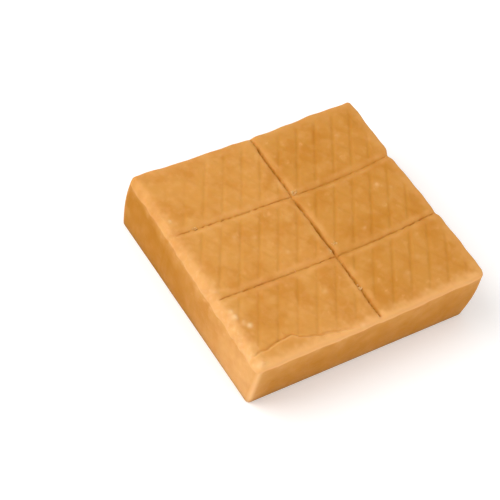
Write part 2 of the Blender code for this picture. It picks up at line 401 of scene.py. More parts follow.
@dataclass(frozen=True)
class Flap:
    """A skin of fudge smeared up over the front rim of the nearest block on the left.

    Its torn edge is a line of points (x, how far behind the front wall).
    """

    edge_x: tuple[float, ...] = (-46.3 * MM, -41.0 * MM, -37.5 * MM, -34.0 * MM, -29.4 * MM, -27.0 * MM,
                                 -24.4 * MM, -20.4 * MM, -15.7 * MM, -11.4 * MM, -6.9 * MM)
    edge_back: tuple[float, ...] = (5.8 * MM, 6.2 * MM, 6.7 * MM, 7.4 * MM, 7.7 * MM, 5.8 * MM,
                                    4.7 * MM, 3.8 * MM, 3.4 * MM, 2.2 * MM, 1.0 * MM)
    # It ends past the last point of that line, and fades over a longer way before that.
    end: float = 1.5 * MM
    fade: float = 4.5 * MM
    # How far it stands proud, and how long the slope up to that is at its torn edge.
    rise: float = 0.38 * MM
    step: float = 0.8 * MM
    # The crease: how deep it is, how far behind the edge, how wide, and how far in from the left
    # wall it is whole.
    crease_depth: float = 0.38 * MM
    crease_place: float = 0.15 * MM
    crease_reach: float = 0.42 * MM
    crease_inset: float = 3.0 * MM
    # The painted highlight on the lip in front of the edge: how far from it, how wide, and how strong.
    lip_highlight_place: float = 0.55 * MM
    lip_highlight_reach: float = 0.45 * MM
    pale_scuff_and_highlight: float = 0.3
    # How far the edge is off its line, and how long those changes are.
    raggedness: float = 0.12 * MM
    raggedness_length: float = 3.0 * MM
    # Grid rows are drawn to the torn edge: the row that lies on it, how near the front rim it may
    # come, in radii of that rim, and the last row that bends. Beside it the rows lie closer.
    row: float = 5.4 * MM
    nearest_row: float = 2.2
    last_row: float = 16.0 * MM
    row_gap: float = 0.3 * MM
    row_step: float = 0.15 * MM

    def torn_edge(self, x: np.ndarray) -> np.ndarray:
        """How far behind the front wall the torn edge is, with its ragged line.

        Args:
            x: Places across the plain outline.

        Returns:
            One distance for each place.
        """
        edge = np.interp(x, self.edge_x, self.edge_back)
        ragged = Ripple(self.raggedness_length, seed=41).over(x, np.zeros_like(x))
        return edge + self.raggedness * ragged

    def share(self, x: np.ndarray) -> np.ndarray:
        """1 along the flap, fading to 0 where it ends on the right."""
        return smooth((self.edge_x[-1] + self.end - x) / self.fade)


@dataclass
class Surface:
    """The slab's closed surface as arrays: the top, the walls below its edge, and the underside.

    Attributes:
        plain_x: Each point's X on the plain outline.
        plain_y: Each point's Y on the plain outline.
        points: Each point's real place.
        quads: The four-sided faces.
        triangles: The triangles that close the underside.
        top_count: How many points belong to the top. They come first.
        wall_count: How many belong to the walls. They come next.
    """

    plain_x: np.ndarray
    plain_y: np.ndarray
    points: np.ndarray
    quads: np.ndarray
    triangles: np.ndarray
    top_count: int
    wall_count: int

    @property
    def on_top(self) -> np.ndarray:
        """Whether each point belongs to the top."""
        return np.arange(len(self.points)) < self.top_count

    @property
    def underneath(self) -> np.ndarray:
        """Whether each point belongs to the underside."""
        return np.arange(len(self.points)) >= self.top_count + self.wall_count


def grid_quads(rows: int, columns: int, closed: bool) -> np.ndarray:
    """The faces of a grid of points that are numbered row by row.

    Args:
        rows: How many rows there are.
        columns: How many points each row has.
        closed: Whether each row runs round and meets its own start.

    Returns:
        Four point numbers for each face, anticlockwise when rows go up and columns to the right.
    """
    row = np.arange(rows - 1)[:, None]
    column = np.arange(columns if closed else columns - 1)[None, :]
    after = (column + 1) % columns
    low, high = row * columns, (row + 1) * columns
    corners = [low + column, low + after, high + after, high + column]
    return np.stack(np.broadcast_arrays(*corners), axis=-1).reshape(-1, 4)


def edge_loop(rows: int, columns: int) -> np.ndarray:
    """Goes anticlockwise round the edge of a grid of points that are numbered row by row.

    Args:
        rows: How many rows there are.
        columns: How many points each row has.

    Returns:
        The point numbers of the edge, from the grid's first point.
    """
    numbers = np.arange(rows * columns).reshape(rows, columns)
    front, right = numbers[0, :-1], numbers[:-1, -1]
    back, left = numbers[-1, :0:-1], numbers[:0:-1, 0]
    return np.concatenate([front, right, back, left])


@dataclass
class FudgeSlab:
    """The whole slab: its closed surface, with the scores, the pattern, the flap and the wear."""

    width: float = 92.5 * MM
    length: float = 88.0 * MM
    rim_height: float = 23.6 * MM
    # The radius of each upright edge, at the left and at the right.
    upright_radii: dict[Wall, tuple[float, float]] = field(
        default_factory=lambda: {Wall.FRONT: (1.4 * MM, 2.6 * MM), Wall.BACK: (1.8 * MM, 1.8 * MM)}
    )
    # How long the changes of the rims' radii are.
    rim_change_length: float = 7.0 * MM
    foot_radius: float = 0.6 * MM
    # How far the walls bulge out, and the lengths and the depth of the waves along their rims.
    bulge: float = 0.6 * MM
    wave_lengths: tuple[float, float] = (27.0 * MM, 11.0 * MM)
    wave_depth: float = 0.12 * MM
    # How far in from a rim its dips are felt.
    dip_fade: float = 4.0 * MM
    # How far the middle of a block stands up, and the power that keeps it level there.
    crown: float = 0.4 * MM
    crown_power: int = 4
    # How deep the top is dished at the front, and from the middle of the slab on.
    dish: tuple[float, float] = (1.2 * MM, 1.45 * MM)
    # The steps of the grid: the usual one, at the outline, and at a thin cut. From there the step
    # grows to the usual one over its reach.
    grid_step: float = 0.52 * MM
    edge_step: float = 0.05 * MM
    cut_step: float = 0.12 * MM
    step_reach: float = 2.5 * MM
    # The loops of points down a wall, the heights of those round its foot as shares of the foot's
    # rounding, and how far out the rings of the underside lie as shares of the outline.
    wall_loops: int = 37
    foot_shares: tuple[float, ...] = (1.0, 0.62, 0.3, 0.08, 0.0)
    ring_shares: tuple[float, ...] = (0.985, 0.95, 0.88, 0.75, 0.5, 0.25)
    walls: dict[Wall, WallShape] = field(
        default_factory=lambda: {
            Wall.LEFT: WallShape(
                rim_radius=2.7 * MM,
                lean=(0.4 * MM, -1.7 * MM),
                dips=(Dip(-14.3 * MM, 0.2 * MM), Dip(15.0 * MM, 0.3 * MM)),
                rim_change=0.13,
                rim_steps=9,
                cut_stop=1.7 * MM,
                wear=(0.13 * MM, 0.05 * MM),
                # The rim's paleness is partly a painted highlight, the face has a painted sheen at the
                # front, and its darkening towards the back is painted shade.
                rim_dryness_and_highlight=(0.66, 0.17),
                face_sheen=(0.38, -0.7),
                moistness_and_shade=(-0.4, 2.1),
            ),
            Wall.RIGHT: WallShape(
                rim_radius=1.2 * MM,
                lean=(2.4 * MM, 2.0 * MM),
                dips=(
                    Dip(-14.3 * MM, 0.5 * MM),
                    Dip(15.0 * MM, 1.1 * MM),
                    Dip(-40.0 * MM, 0.5 * MM, 7.0 * MM),
                    Dip(-20.0 * MM, 0.15 * MM, 6.0 * MM),
                    Dip(-7.5 * MM, 0.65 * MM, 8.0 * MM),
                    Dip(10.5 * MM, 1.0 * MM, 9.5 * MM),
                    Dip(29.0 * MM, 0.4 * MM, 4.5 * MM),
                    Dip(41.5 * MM, 0.4 * MM, 4.0 * MM),
                ),
            ),
            Wall.FRONT: WallShape(
                rim_radius=1.0 * MM,
                lean=(2.2 * MM, 0.6 * MM),
                dips=(Dip(2.8 * MM, 0.1 * MM),),
                rim_steps=6,
                cut_stop=1.0 * MM,
                wear=(0.02 * MM, 0.01 * MM),
                # The rim's paleness is partly a painted highlight, and the face's darkening is partly
                # painted shade.
                rim_dryness_and_highlight=(0.68, 0.64),
                moistness_and_shade=(0.95, 0.95),
            ),
            Wall.BACK: WallShape(
                rim_radius=1.2 * MM,
                lean=(0.8 * MM, 0.8 * MM),
                dips=(
                    Dip(2.8 * MM, 0.3 * MM),
                    Dip(-10.0 * MM, 0.2 * MM, 9.0 * MM),
                    Dip(11.0 * MM, 0.3 * MM, 6.0 * MM),
                    Dip(29.0 * MM, -0.45 * MM, 6.0 * MM),
                    Dip(41.0 * MM, 0.45 * MM, 5.0 * MM),
                ),
            ),
        }
    )
    scores: Scores = field(default_factory=Scores)
    pattern: DiamondPattern = field(default_factory=DiamondPattern)
    flap: Flap = field(default_factory=Flap)
    # How far the slab is moved from its own axes to the frame's. It is set when the slab is built.
    to_frame: np.ndarray = field(default_factory=lambda: np.zeros(3))

    # Distances

    def gaps(self, x: np.ndarray, y: np.ndarray) -> dict[Wall, np.ndarray]:
        """How far each point of the plain outline is from each wall.

        Args:
            x: Places across the plain outline.
            y: Places along it.

        Returns:
            One array of distances for each wall.
        """
        return {
            Wall.LEFT: x + self.width / 2,
            Wall.RIGHT: self.width / 2 - x,
            Wall.FRONT: y + self.length / 2,
            Wall.BACK: self.length / 2 - y,
        }

    def nearer_gaps(self, x: np.ndarray, y: np.ndarray) -> tuple[np.ndarray, np.ndarray]:
        """How far each point is from the nearer of the left and right walls, and of the other two."""
        left, right, front, back = self.gaps(x, y).values()
        return np.minimum(left, right), np.minimum(front, back)

    def score_distances(self, x: np.ndarray, y: np.ndarray) -> tuple[np.ndarray, np.ndarray]:
        """How far each point is from the long score and from the nearer cross score."""
        to_rows = [np.abs(y - row) for row in self.scores.cross_y]
        return np.abs(x - self.scores.long_x), np.minimum(*to_rows)

    # The top, as a height over the plain outline

    def rim_drop(self, x: np.ndarray, y: np.ndarray) -> np.ndarray:
        """How far the rounded rim lies below the flat top: r - sqrt(r^2 - inward^2).

        Round a corner the radius changes smoothly from one wall's to the other's, and along a wall
        it is larger in some places than in others.

        Args:
            x: Places across the plain outline.
            y: Places along it.

        Returns:
            One depth for each place.
        """
        side_gap, end_gap = self.nearer_gaps(x, y)
        wave = Ripple(self.rim_change_length, seed=19).over(x, y, limit=1.5)
        left, right, front, back = (
            self.walls[wall].rim_radius * (1 + self.walls[wall].rim_change * wave) for wall in Wall
        )
        side_radius = np.where(x < 0, left, right)
        end_radius = np.where(y < 0, front, back)
        reach = np.maximum(side_radius, end_radius)
        side_share = np.clip(1 - side_gap / reach, 0, None) ** 2
        end_share = np.clip(1 - end_gap / reach, 0, None) ** 2
        total = side_share + end_share
        mixed = (side_share * side_radius + end_share * end_radius) / np.where(total > 0, total, 1)
        radius = np.where(total > 0, mixed, side_radius)
        inward = np.clip(radius - np.minimum(side_gap, end_gap), 0, radius)
        return radius - np.sqrt(radius**2 - inward**2)

    def cut_shares(self, x: np.ndarray, y: np.ndarray) -> list[np.ndarray]:
        """How deep in the long cut, and in a cross cut, each point is.

        Each is an S curve across the cut, times its strength at that place. It runs out smoothly
        where the cut stops.

        Args:
            x: Places across the plain outline.
            y: Places along it.

        Returns:
            Two arrays of shares, 0 outside a cut and 1 at the bottom of a whole one.
        """
        gaps = self.gaps(x, y)
        past = {wall: gaps[wall] - shape.cut_stop for wall, shape in self.walls.items()}
        past_ends = (
            np.minimum(past[Wall.FRONT], past[Wall.BACK]),
            np.minimum(past[Wall.LEFT], past[Wall.RIGHT]),
        )
        scores = self.scores
        change = Ripple(scores.width_length, seed=17).over(x, y)
        reaches = [half * (1 + scores.width_change * change) for half in scores.cut_half_widths]
        front_row, back_row = scores.cross_y
        cross = [np.interp(x, *zip(*strength)) for strength in scores.cross_strengths]
        nearer = np.where(np.abs(y - front_row) < np.abs(y - back_row), *cross)
        torn = Ripple(scores.torn_length, seed=18).over(x, y, limit=1.8)
        smooth_strengths = (np.interp(y, *zip(*scores.long_strength)), nearer)
        torn_shares = (1 + share * torn for share in scores.torn_depths)
        strengths = [strength * share for strength, share in zip(smooth_strengths, torn_shares)]
        both = zip(self.score_distances(x, y), past_ends, reaches, strengths)
        return [
            strength * smooth(1 - across / reach) * smooth(past_end / scores.run_out)
            for across, past_end, reach, strength in both
        ]

    def cut_drop(self, x: np.ndarray, y: np.ndarray) -> np.ndarray:
        """How far a thin cut takes each point down."""
        long_cut, cross_cut = self.cut_shares(x, y)
        return np.maximum(self.scores.cut_depths[0] * long_cut, self.scores.cut_depths[1] * cross_cut)

    def score_drop(self, x: np.ndarray, y: np.ndarray) -> np.ndarray:
        """How deep the scores are: soft valleys of bell section, and thin cuts at their bottoms.

        Args:
            x: Places across the plain outline.
            y: Places along it.

        Returns:
            One depth for each place.
        """
        drop = self.cut_drop(x, y)
        for across in self.score_distances(x, y):
            drop = drop + self.scores.valley_depth * bell(across, self.scores.valley_reach)
        return drop

    def crown_rise(self, x: np.ndarray, y: np.ndarray) -> np.ndarray:
        """How far the top stands above the edges of its own block: (1 - u^4)(1 - v^4).

        Args:
            x: Places across the plain outline.
            y: Places along it.

        Returns:
            One height for each place. U and V run from -1 to 1 across and along the block.
        """
        columns = np.array([-self.width / 2, self.scores.long_x, self.width / 2])
        rows = np.array([-self.length / 2, *self.scores.cross_y, self.length / 2])
        rise = np.full_like(x, self.crown)
        for value, lines in ((x, columns), (y, rows)):
            cell = np.clip(np.searchsorted(lines, value, side="right") - 1, 0, len(lines) - 2)
            low, high = lines[cell], lines[cell + 1]
            rise = rise * (1 - (2 * (value - low) / (high - low) - 1) ** self.crown_power)
        return rise

    def dish_drop(self, x: np.ndarray, y: np.ndarray) -> np.ndarray:
        """How far the dished top lies below its left and right rims: a parabola across the slab.

        Args:
            x: Places across the plain outline.
            y: Places along it.

        Returns:
            One depth for each place.
        """
        front, middle = self.dish
        depth = front + (middle - front) * smooth(2 * self.gaps(x, y)[Wall.FRONT] / self.length)
        return depth * (1 - (2 * x / self.width) ** 2)

    def pattern_share(self, x: np.ndarray, y: np.ndarray) -> np.ndarray:
        """How whole the pattern is.

        A rim or a score pressed it flat, so it fades there in an S curve. It is faint about its
        faint place in a bell curve, and the flap hides most of it.

        Args:
            x: Places across the plain outline.
            y: Places along it.

        Returns:
            One share for each place, 1 where the pattern is whole.
        """
        bare, whole = self.pattern.margin
        inset = max(shape.rim_radius for shape in self.walls.values()) / 2
        from_rim = np.minimum(*self.nearer_gaps(x, y)) - inset
        from_score = np.minimum(*self.score_distances(x, y))
        clear = smooth((np.minimum(from_rim, from_score) - bare) / (whole - bare))
        ahead = self.flap.torn_edge(x) - self.gaps(x, y)[Wall.FRONT]
        under_flap = smooth(ahead / self.flap.step + 0.5) * self.flap.share(x)
        faint_x, faint_y = self.pattern.faint_place
        faint = self.pattern.faintness * bell(np.hypot(x - faint_x, y - faint_y), self.pattern.faint_reach)
        return clear * (1 - self.pattern.hidden_by_flap * under_flap) * (1 - faint)

    def groove_drop(self, x: np.ndarray, y: np.ndarray) -> np.ndarray:
        """How deep the diamond pattern is: each groove is a channel of cos^2 section.

        Args:
            x: Places across the plain outline.
            y: Places along it.

        Returns:
            One depth for each place. A groove's depth comes and goes along it.
        """
        drop = np.zeros_like(x)
        pattern = self.pattern
        sets = zip(pattern.distances(x, y), pattern.depths, pattern.fading, (23, 29))
        for distance, depth, fading, seed in sets:
            coming = Ripple(pattern.fading_length, seed=seed).over(x, y)
            strength = 1 - fading * smooth(0.5 + 0.5 * coming)
            share = np.clip(distance / pattern.half_width, 0, 1)
            drop = np.maximum(drop, depth * strength * np.cos(math.pi / 2 * share) ** 2)
        return drop * self.pattern_share(x, y)

    def flap_rise(self, x: np.ndarray, y: np.ndarray) -> np.ndarray:
        """How far the flap raises the top.

        It stands proud in front of its torn edge, thins out to the front rim in an S curve, and has
        a narrow crease of bell section just behind that edge.

        Args:
            x: Places across the plain outline.
            y: Places along it.

        Returns:
            One height for each place, below 0 in the crease.
        """
        flap = self.flap
        torn_edge = flap.torn_edge(x)
        from_front = self.gaps(x, y)[Wall.FRONT]
        ahead = torn_edge - from_front
        proud = smooth(ahead / flap.step)
        thinning = smooth(from_front / torn_edge)
        crease = bell(ahead + flap.crease_place, flap.crease_reach)
        inside = smooth(self.gaps(x, y)[Wall.LEFT] / flap.crease_inset)
        return (flap.rise * proud * thinning - flap.crease_depth * crease * inside) * flap.share(x)

    def top_height(self, x: np.ndarray, y: np.ndarray) -> np.ndarray:
        """The height of the top over each point of the plain outline."""
        drop = self.rim_drop(x, y) + self.score_drop(x, y) + self.dish_drop(x, y) + self.groove_drop(x, y)
        return self.rim_height - drop + self.crown_rise(x, y) + self.flap_rise(x, y)

    # The outline, and how the plain box is drawn to its real form

    def rounded_upright(self, x: np.ndarray, y: np.ndarray) -> tuple[np.ndarray, np.ndarray]:
        """Rounds the upright edges: squares about an edge's middle line become circles.

        Args:
            x: Places across the plain outline.
            y: Places along it.

        Returns:
            The new places across and along.
        """
        side_gap, end_gap = self.nearer_gaps(x, y)
        left, right = (
            np.where(y < 0, front, back)
            for front, back in zip(self.upright_radii[Wall.FRONT], self.upright_radii[Wall.BACK])
        )
        radius = np.where(x < 0, left, right)
        out_x, out_y = radius - side_gap, radius - end_gap
        in_corner = (out_x > 0) & (out_y > 0)
        reach = np.where(in_corner, np.hypot(out_x, out_y), 1.0)
        scale = np.where(in_corner, np.maximum(out_x, out_y) / reach, 1.0)
        new_x = x - np.sign(x) * np.where(in_corner, out_x * (1 - scale), 0)
        new_y = y - np.sign(y) * np.where(in_corner, out_y * (1 - scale), 0)
        return new_x, new_y

    def score_sway(self, x: np.ndarray, sway: tuple[float, float, float, float]) -> np.ndarray:
        """How far a cross score is off its row: straight on the left, a parabola on the right.

        Args:
            x: Places across the plain outline.
            sway: One of the sways of the scores.

        Returns:
            One distance for each place.
        """
        left, middle, halfway, right = sway
        middle_x, half = self.scores.long_x, self.width / 2
        on_left = np.interp(x, (-half, middle_x), (left, middle))
        share = (x - middle_x) / (half - middle_x)
        at_ends = middle * (1 - share) * (1 - 2 * share) + right * share * (2 * share - 1)
        return np.where(x < middle_x, on_left, at_ends + 4 * halfway * share * (1 - share))

    def cross_sway(self, x: np.ndarray, y: np.ndarray) -> np.ndarray:
        """How far each point is dragged along Y by the cross scores on either side of it.

        The drag is whole at a score and fades evenly to the next score, or to the wall.

        Args:
            x: Places across the plain outline.
            y: Places along it.

        Returns:
            One distance for each place.
        """
        front_row, back_row = self.scores.cross_y
        front_sway, back_sway = (self.score_sway(x, sway) for sway in self.scores.sways)
        half = self.length / 2
        from_front = np.clip((y + half) / (front_row + half), 0, 1)
        between = np.clip((y - front_row) / (back_row - front_row), 0, 1)
        to_back = np.clip((y - back_row) / (half - back_row), 0, 1)
        middle = front_sway + (back_sway - front_sway) * between
        sway = middle * from_front * (1 - to_back)
        for row, seed in zip(self.scores.cross_y, (9, 10)):
            sway = sway + self.torn_sway(y - row, x, self.scores.torn[1], seed)
        return sway

    def torn_sway(self, across: np.ndarray, along: np.ndarray, depth: float, seed: int) -> np.ndarray:
        """How far each point is dragged across a thin cut with torn sides, in a bell curve.

        Args:
            across: How far each point is from the cut.
            along: Where it is along the cut.
            depth: How far the cut is off its line.
            seed: The seed of its random draws.

        Returns:
            One distance for each point.
        """
        ragged = Ripple(self.scores.torn_length, seed=seed).over(along, np.zeros_like(along))
        return depth * ragged * bell(across, self.scores.torn_reach)

    def long_sway(self, x: np.ndarray, y: np.ndarray) -> np.ndarray:
        """How far each point is dragged along X by the wandering long score, in a bell curve.

        Args:
            x: Places across the plain outline.
            y: Places along it.

        Returns:
            One distance for each place.
        """
        wander = Ripple(self.scores.wander_length, seed=7).over(np.zeros_like(y), y)
        across = x - self.scores.long_x
        drag = self.scores.wander * wander * bell(across, self.scores.wander_reach)
        return drag + self.torn_sway(across, y, self.scores.torn[0], seed=8)

    def rim_inset(self, wall: Wall, along: np.ndarray) -> np.ndarray:
        """How far a rim lies inside its straight line: bell-shaped dips and cosine waves.

        Args:
            wall: The rim's wall.
            along: Places along it, from its middle.

        Returns:
            One distance for each place.
        """
        inset = np.zeros_like(along)
        for dip in self.walls[wall].dips:
            inset = inset + dip.depth * bell(along - dip.place, dip.reach)
        for wave_length in self.wave_lengths:
            inset = inset + self.wave_depth * np.cos(2 * math.pi * along / wave_length)
        return inset

    def wall_shift(self, wall: Wall, x: np.ndarray, y: np.ndarray, height: np.ndarray) -> np.ndarray:
        """How far each point moves inwards from this wall.

        The lean is whole at the table and fades evenly to the top. The bulge is a half sine wave up
        the wall. The rim's dips and waves grow with the square of the height.

        Args:
            wall: The wall.
            x: Places across the plain outline.
            y: Places along it.
            height: Their heights.

        Returns:
            One distance for each place.
        """
        share = height / self.rim_height
        along, length = (y, self.length) if wall.runs_along_y else (x, self.width)
        start, end = self.walls[wall].lean
        lean = start + (end - start) * (along / length + 0.5)
        near = np.exp(-self.gaps(x, y)[wall] / self.dip_fade)
        shift = lean * (1 - share) - self.bulge * np.sin(math.pi * share) * near
        return shift + self.rim_inset(wall, along) * share**2 * near

    def shaped(self, x: np.ndarray, y: np.ndarray, height: np.ndarray) -> np.ndarray:
        """The real places of points of the plain box.

        Each wall's shift is whole at that wall and fades evenly to the one across from it. The
        scores drag what is near them, and a quarter circle rounds the foot.

        Args:
            x: Their places across the plain outline.
            y: Their places along it.
            height: Their real heights.

        Returns:
            One row of X, Y and Z for each point.
        """
        x_share, y_share = x / self.width + 0.5, y / self.length + 0.5
        new_x, new_y = self.rounded_upright(x, y)
        new_x = new_x + self.wall_shift(Wall.LEFT, x, y, height) * (1 - x_share)
        new_x = new_x - self.wall_shift(Wall.RIGHT, x, y, height) * x_share
        new_y = new_y + self.wall_shift(Wall.FRONT, x, y, height) * (1 - y_share)
        new_y = new_y - self.wall_shift(Wall.BACK, x, y, height) * y_share
        new_x = new_x + self.long_sway(x, y)
        new_y = new_y + self.cross_sway(x, y)
        inward = np.clip(self.foot_radius - height, 0, self.foot_radius)
        foot = self.foot_radius - np.sqrt(self.foot_radius**2 - inward**2)
        new_x = new_x * (1 - 2 * foot / self.width)
        new_y = new_y * (1 - 2 * foot / self.length)
        return np.stack([new_x, new_y, height], axis=-1)

    # The grid

    def rim_lines(self, wall: Wall) -> list[tuple[float, float]]:
        """Marks that round a rim in even turns, like those of a quarter circle.

        Args:
            wall: The rim's wall.

        Returns:
            How far each mark is from the wall, and its step.
        """
        radius, steps = self.walls[wall].rim_radius, self.walls[wall].rim_steps
        turns = [math.pi / 2 * step / steps for step in range(1, steps + 1)]
        return [(radius * (1 - math.cos(turn)), radius * math.pi / 2 / steps) for turn in turns]

    def cut_lines(self, middle: float, half: float) -> list[tuple[float, float]]:
        """Marks on both sides of a thin cut and at its bottom."""
        return [(middle + share * half, self.cut_step) for share in (-1.2, -0.6, 0.0, 0.6, 1.2)]

    def column_lines(self) -> np.ndarray:
        """Spaces the columns of points.

        Returns:
            The X of each column on the plain box.
        """
        half = self.width / 2
        marks = [(-half, self.edge_step)]
        marks += [(-half + place, step) for place, step in self.rim_lines(Wall.LEFT)]
        marks += self.cut_lines(self.scores.long_x, self.scores.cut_half_widths[0])
        marks += [(half - place, step) for place, step in reversed(self.rim_lines(Wall.RIGHT))]
        marks.append((half, self.edge_step))
        return spread(marks, self.grid_step, self.step_reach)

    def row_lines(self) -> np.ndarray:
        """Spaces the rows of points.

        Returns:
            The Y of each row on the plain box, before the flap bends the rows.
        """
        half = self.length / 2
        flap = self.flap
        marks = [(-half, self.edge_step)]
        marks += [(-half + place, step) for place, step in self.rim_lines(Wall.FRONT)]
        marks += [(-half + flap.row + shift, flap.row_step) for shift in (-flap.row_gap, 0.0, flap.row_gap)]
        for row in self.scores.cross_y:
            marks += self.cut_lines(row, self.scores.cut_half_widths[1])
        marks += [(half - place, step) for place, step in reversed(self.rim_lines(Wall.BACK))]
        marks.append((half, self.edge_step))
        return spread(marks, self.grid_step, self.step_reach)

    def drawn_to_flap(self, x: np.ndarray, y: np.ndarray) -> np.ndarray:
        """Bends the rows so that one row lies along the torn edge of the flap.

        Between that row and the rim, and between it and the last row that bends, the rows are
        stretched evenly.

        Args:
            x: Places across the plain outline.
            y: Places along it.

        Returns:
            The new places along.
        """
        flap = self.flap
        rim = self.walls[Wall.FRONT].rim_radius
        from_front = y + self.length / 2
        edge = np.maximum(flap.torn_edge(x), flap.nearest_row * rim)
        target = flap.row + (edge - flap.row) * flap.share(x)
        before = rim + (from_front - rim) * (target - rim) / (flap.row - rim)
        after = target + (from_front - flap.row) * (flap.last_row - target) / (flap.last_row - flap.row)
        bent = np.where(from_front < flap.row, before, after)
        bent = np.where((from_front < rim) | (from_front > flap.last_row), from_front, bent)
        return bent - self.length / 2

    # The mesh

    def surface(self) -> Surface:
        """Works out the slab's closed surface.

        The top is a grid over the plain outline. The walls carry the grid's edge down to the table in
        even shares of its height. The underside draws the last loop in to one middle point.

        Returns:
            The arrays of its surface.
        """
        columns, rows = self.column_lines(), self.row_lines()
        grid_x, grid_y = np.meshgrid(columns, rows)
        grid_y = self.drawn_to_flap(grid_x, grid_y)
        top = self.shaped(grid_x, grid_y, self.top_height(grid_x, grid_y)).reshape(-1, 3)
        loop = edge_loop(len(rows), len(columns))
        loop_x, loop_y = grid_x.reshape(-1)[loop], grid_y.reshape(-1)[loop]

        foot = self.foot_radius * np.array(self.foot_shares)
        wall_shares = np.linspace(1, 0, self.wall_loops + 1)[1:, None]
        wall_heights = foot[0] + (top[loop, 2][None, :] - foot[0]) * wall_shares
        foot_heights = np.broadcast_to(foot[1:, None], (len(foot) - 1, len(loop)))
        heights = np.concatenate([wall_heights, foot_heights])
        wall_x = np.broadcast_to(loop_x, heights.shape)
        wall_y = np.broadcast_to(loop_y, heights.shape)
        walls = self.shaped(wall_x, wall_y, heights).reshape(-1, 3)

        ring_shares = np.array(self.ring_shares)[:, None]
        under_x, under_y = loop_x * ring_shares, loop_y * ring_shares
        last = walls[-len(loop):]
        middle = last.mean(axis=0)
        rings = (middle + (last - middle) * ring_shares[:, :, None]).reshape(-1, 3)

        points = np.concatenate([top, walls, rings, middle[None, :]])
        plain_x = np.concatenate([grid_x.reshape(-1), wall_x.reshape(-1), under_x.reshape(-1), [0.0]])
        plain_y = np.concatenate([grid_y.reshape(-1), wall_y.reshape(-1), under_y.reshape(-1), [0.0]])

        # The loops below the top's edge, as one sheet of rows: the edge itself, the walls, the rings.
        loops = len(heights) + len(ring_shares)
        below = grid_quads(loops + 1, len(loop), closed=True)[:, ::-1]
        numbers = np.concatenate([loop, len(top) + np.arange(loops * len(loop))])
        quads = np.concatenate([grid_quads(len(rows), len(columns), closed=False), numbers[below]])
        inner = len(points) - 1 - len(loop) + np.arange(len(loop))
        centre = np.full(len(loop), len(points) - 1)
        triangles = np.stack([inner, centre, np.roll(inner, -1)], axis=-1)
        return Surface(plain_x, plain_y, points, quads, triangles, len(top), len(walls))

    def build(self, skin: "Skin", finish: bpy.types.Material) -> bpy.types.Object:
        """Makes the whole slab in the place of the frame's plain solid.

        Each point of the closed surface is pushed along the outward direction there, as far as the
        skin says. The middle of the slab's box comes to lie over the middle of the solid's.

        Args:
            skin: Its skin.
            finish: Its material.

        Returns:
            The object.
        """
        surface = self.surface()
        middle = (surface.points.min(axis=0) + surface.points.max(axis=0)) / 2
        solid_middle = (np.array(cad_box[0]) + np.array(cad_box[1])) / 2
        self.to_frame = np.array([solid_middle[0] - middle[0], solid_middle[1] - middle[1], 0.0])
        made = mesh_object("scored_slab", surface.points, surface.quads, surface.triangles)
        out, values = skin.push(self, surface)
        places = surface.points + point_normals(made) * out[:, None] + self.to_frame
        made.data.vertices.foreach_set("co", places.astype(np.float32).reshape(-1))
        made.data.update()
        for name, numbers in values.items():
            give_values(made, name, numbers)
        put_on_frame(made, finish)
        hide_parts(CAD_NODE)
        return made


# The slab's skin


@dataclass(frozen=True)
class Speck:
    """A small pale place where dry sugar shows, level or a little raised, of bell section.

    Attributes:
        x: Its place across the plain outline.
        y: Its place along the plain outline.
        radius: How far from its middle it falls to a third.
        height: How far it stands up.
        paleness: How much of what shows there is sugar.
    """

    x: float
    y: float
    radius: float
    height: float
    paleness: float


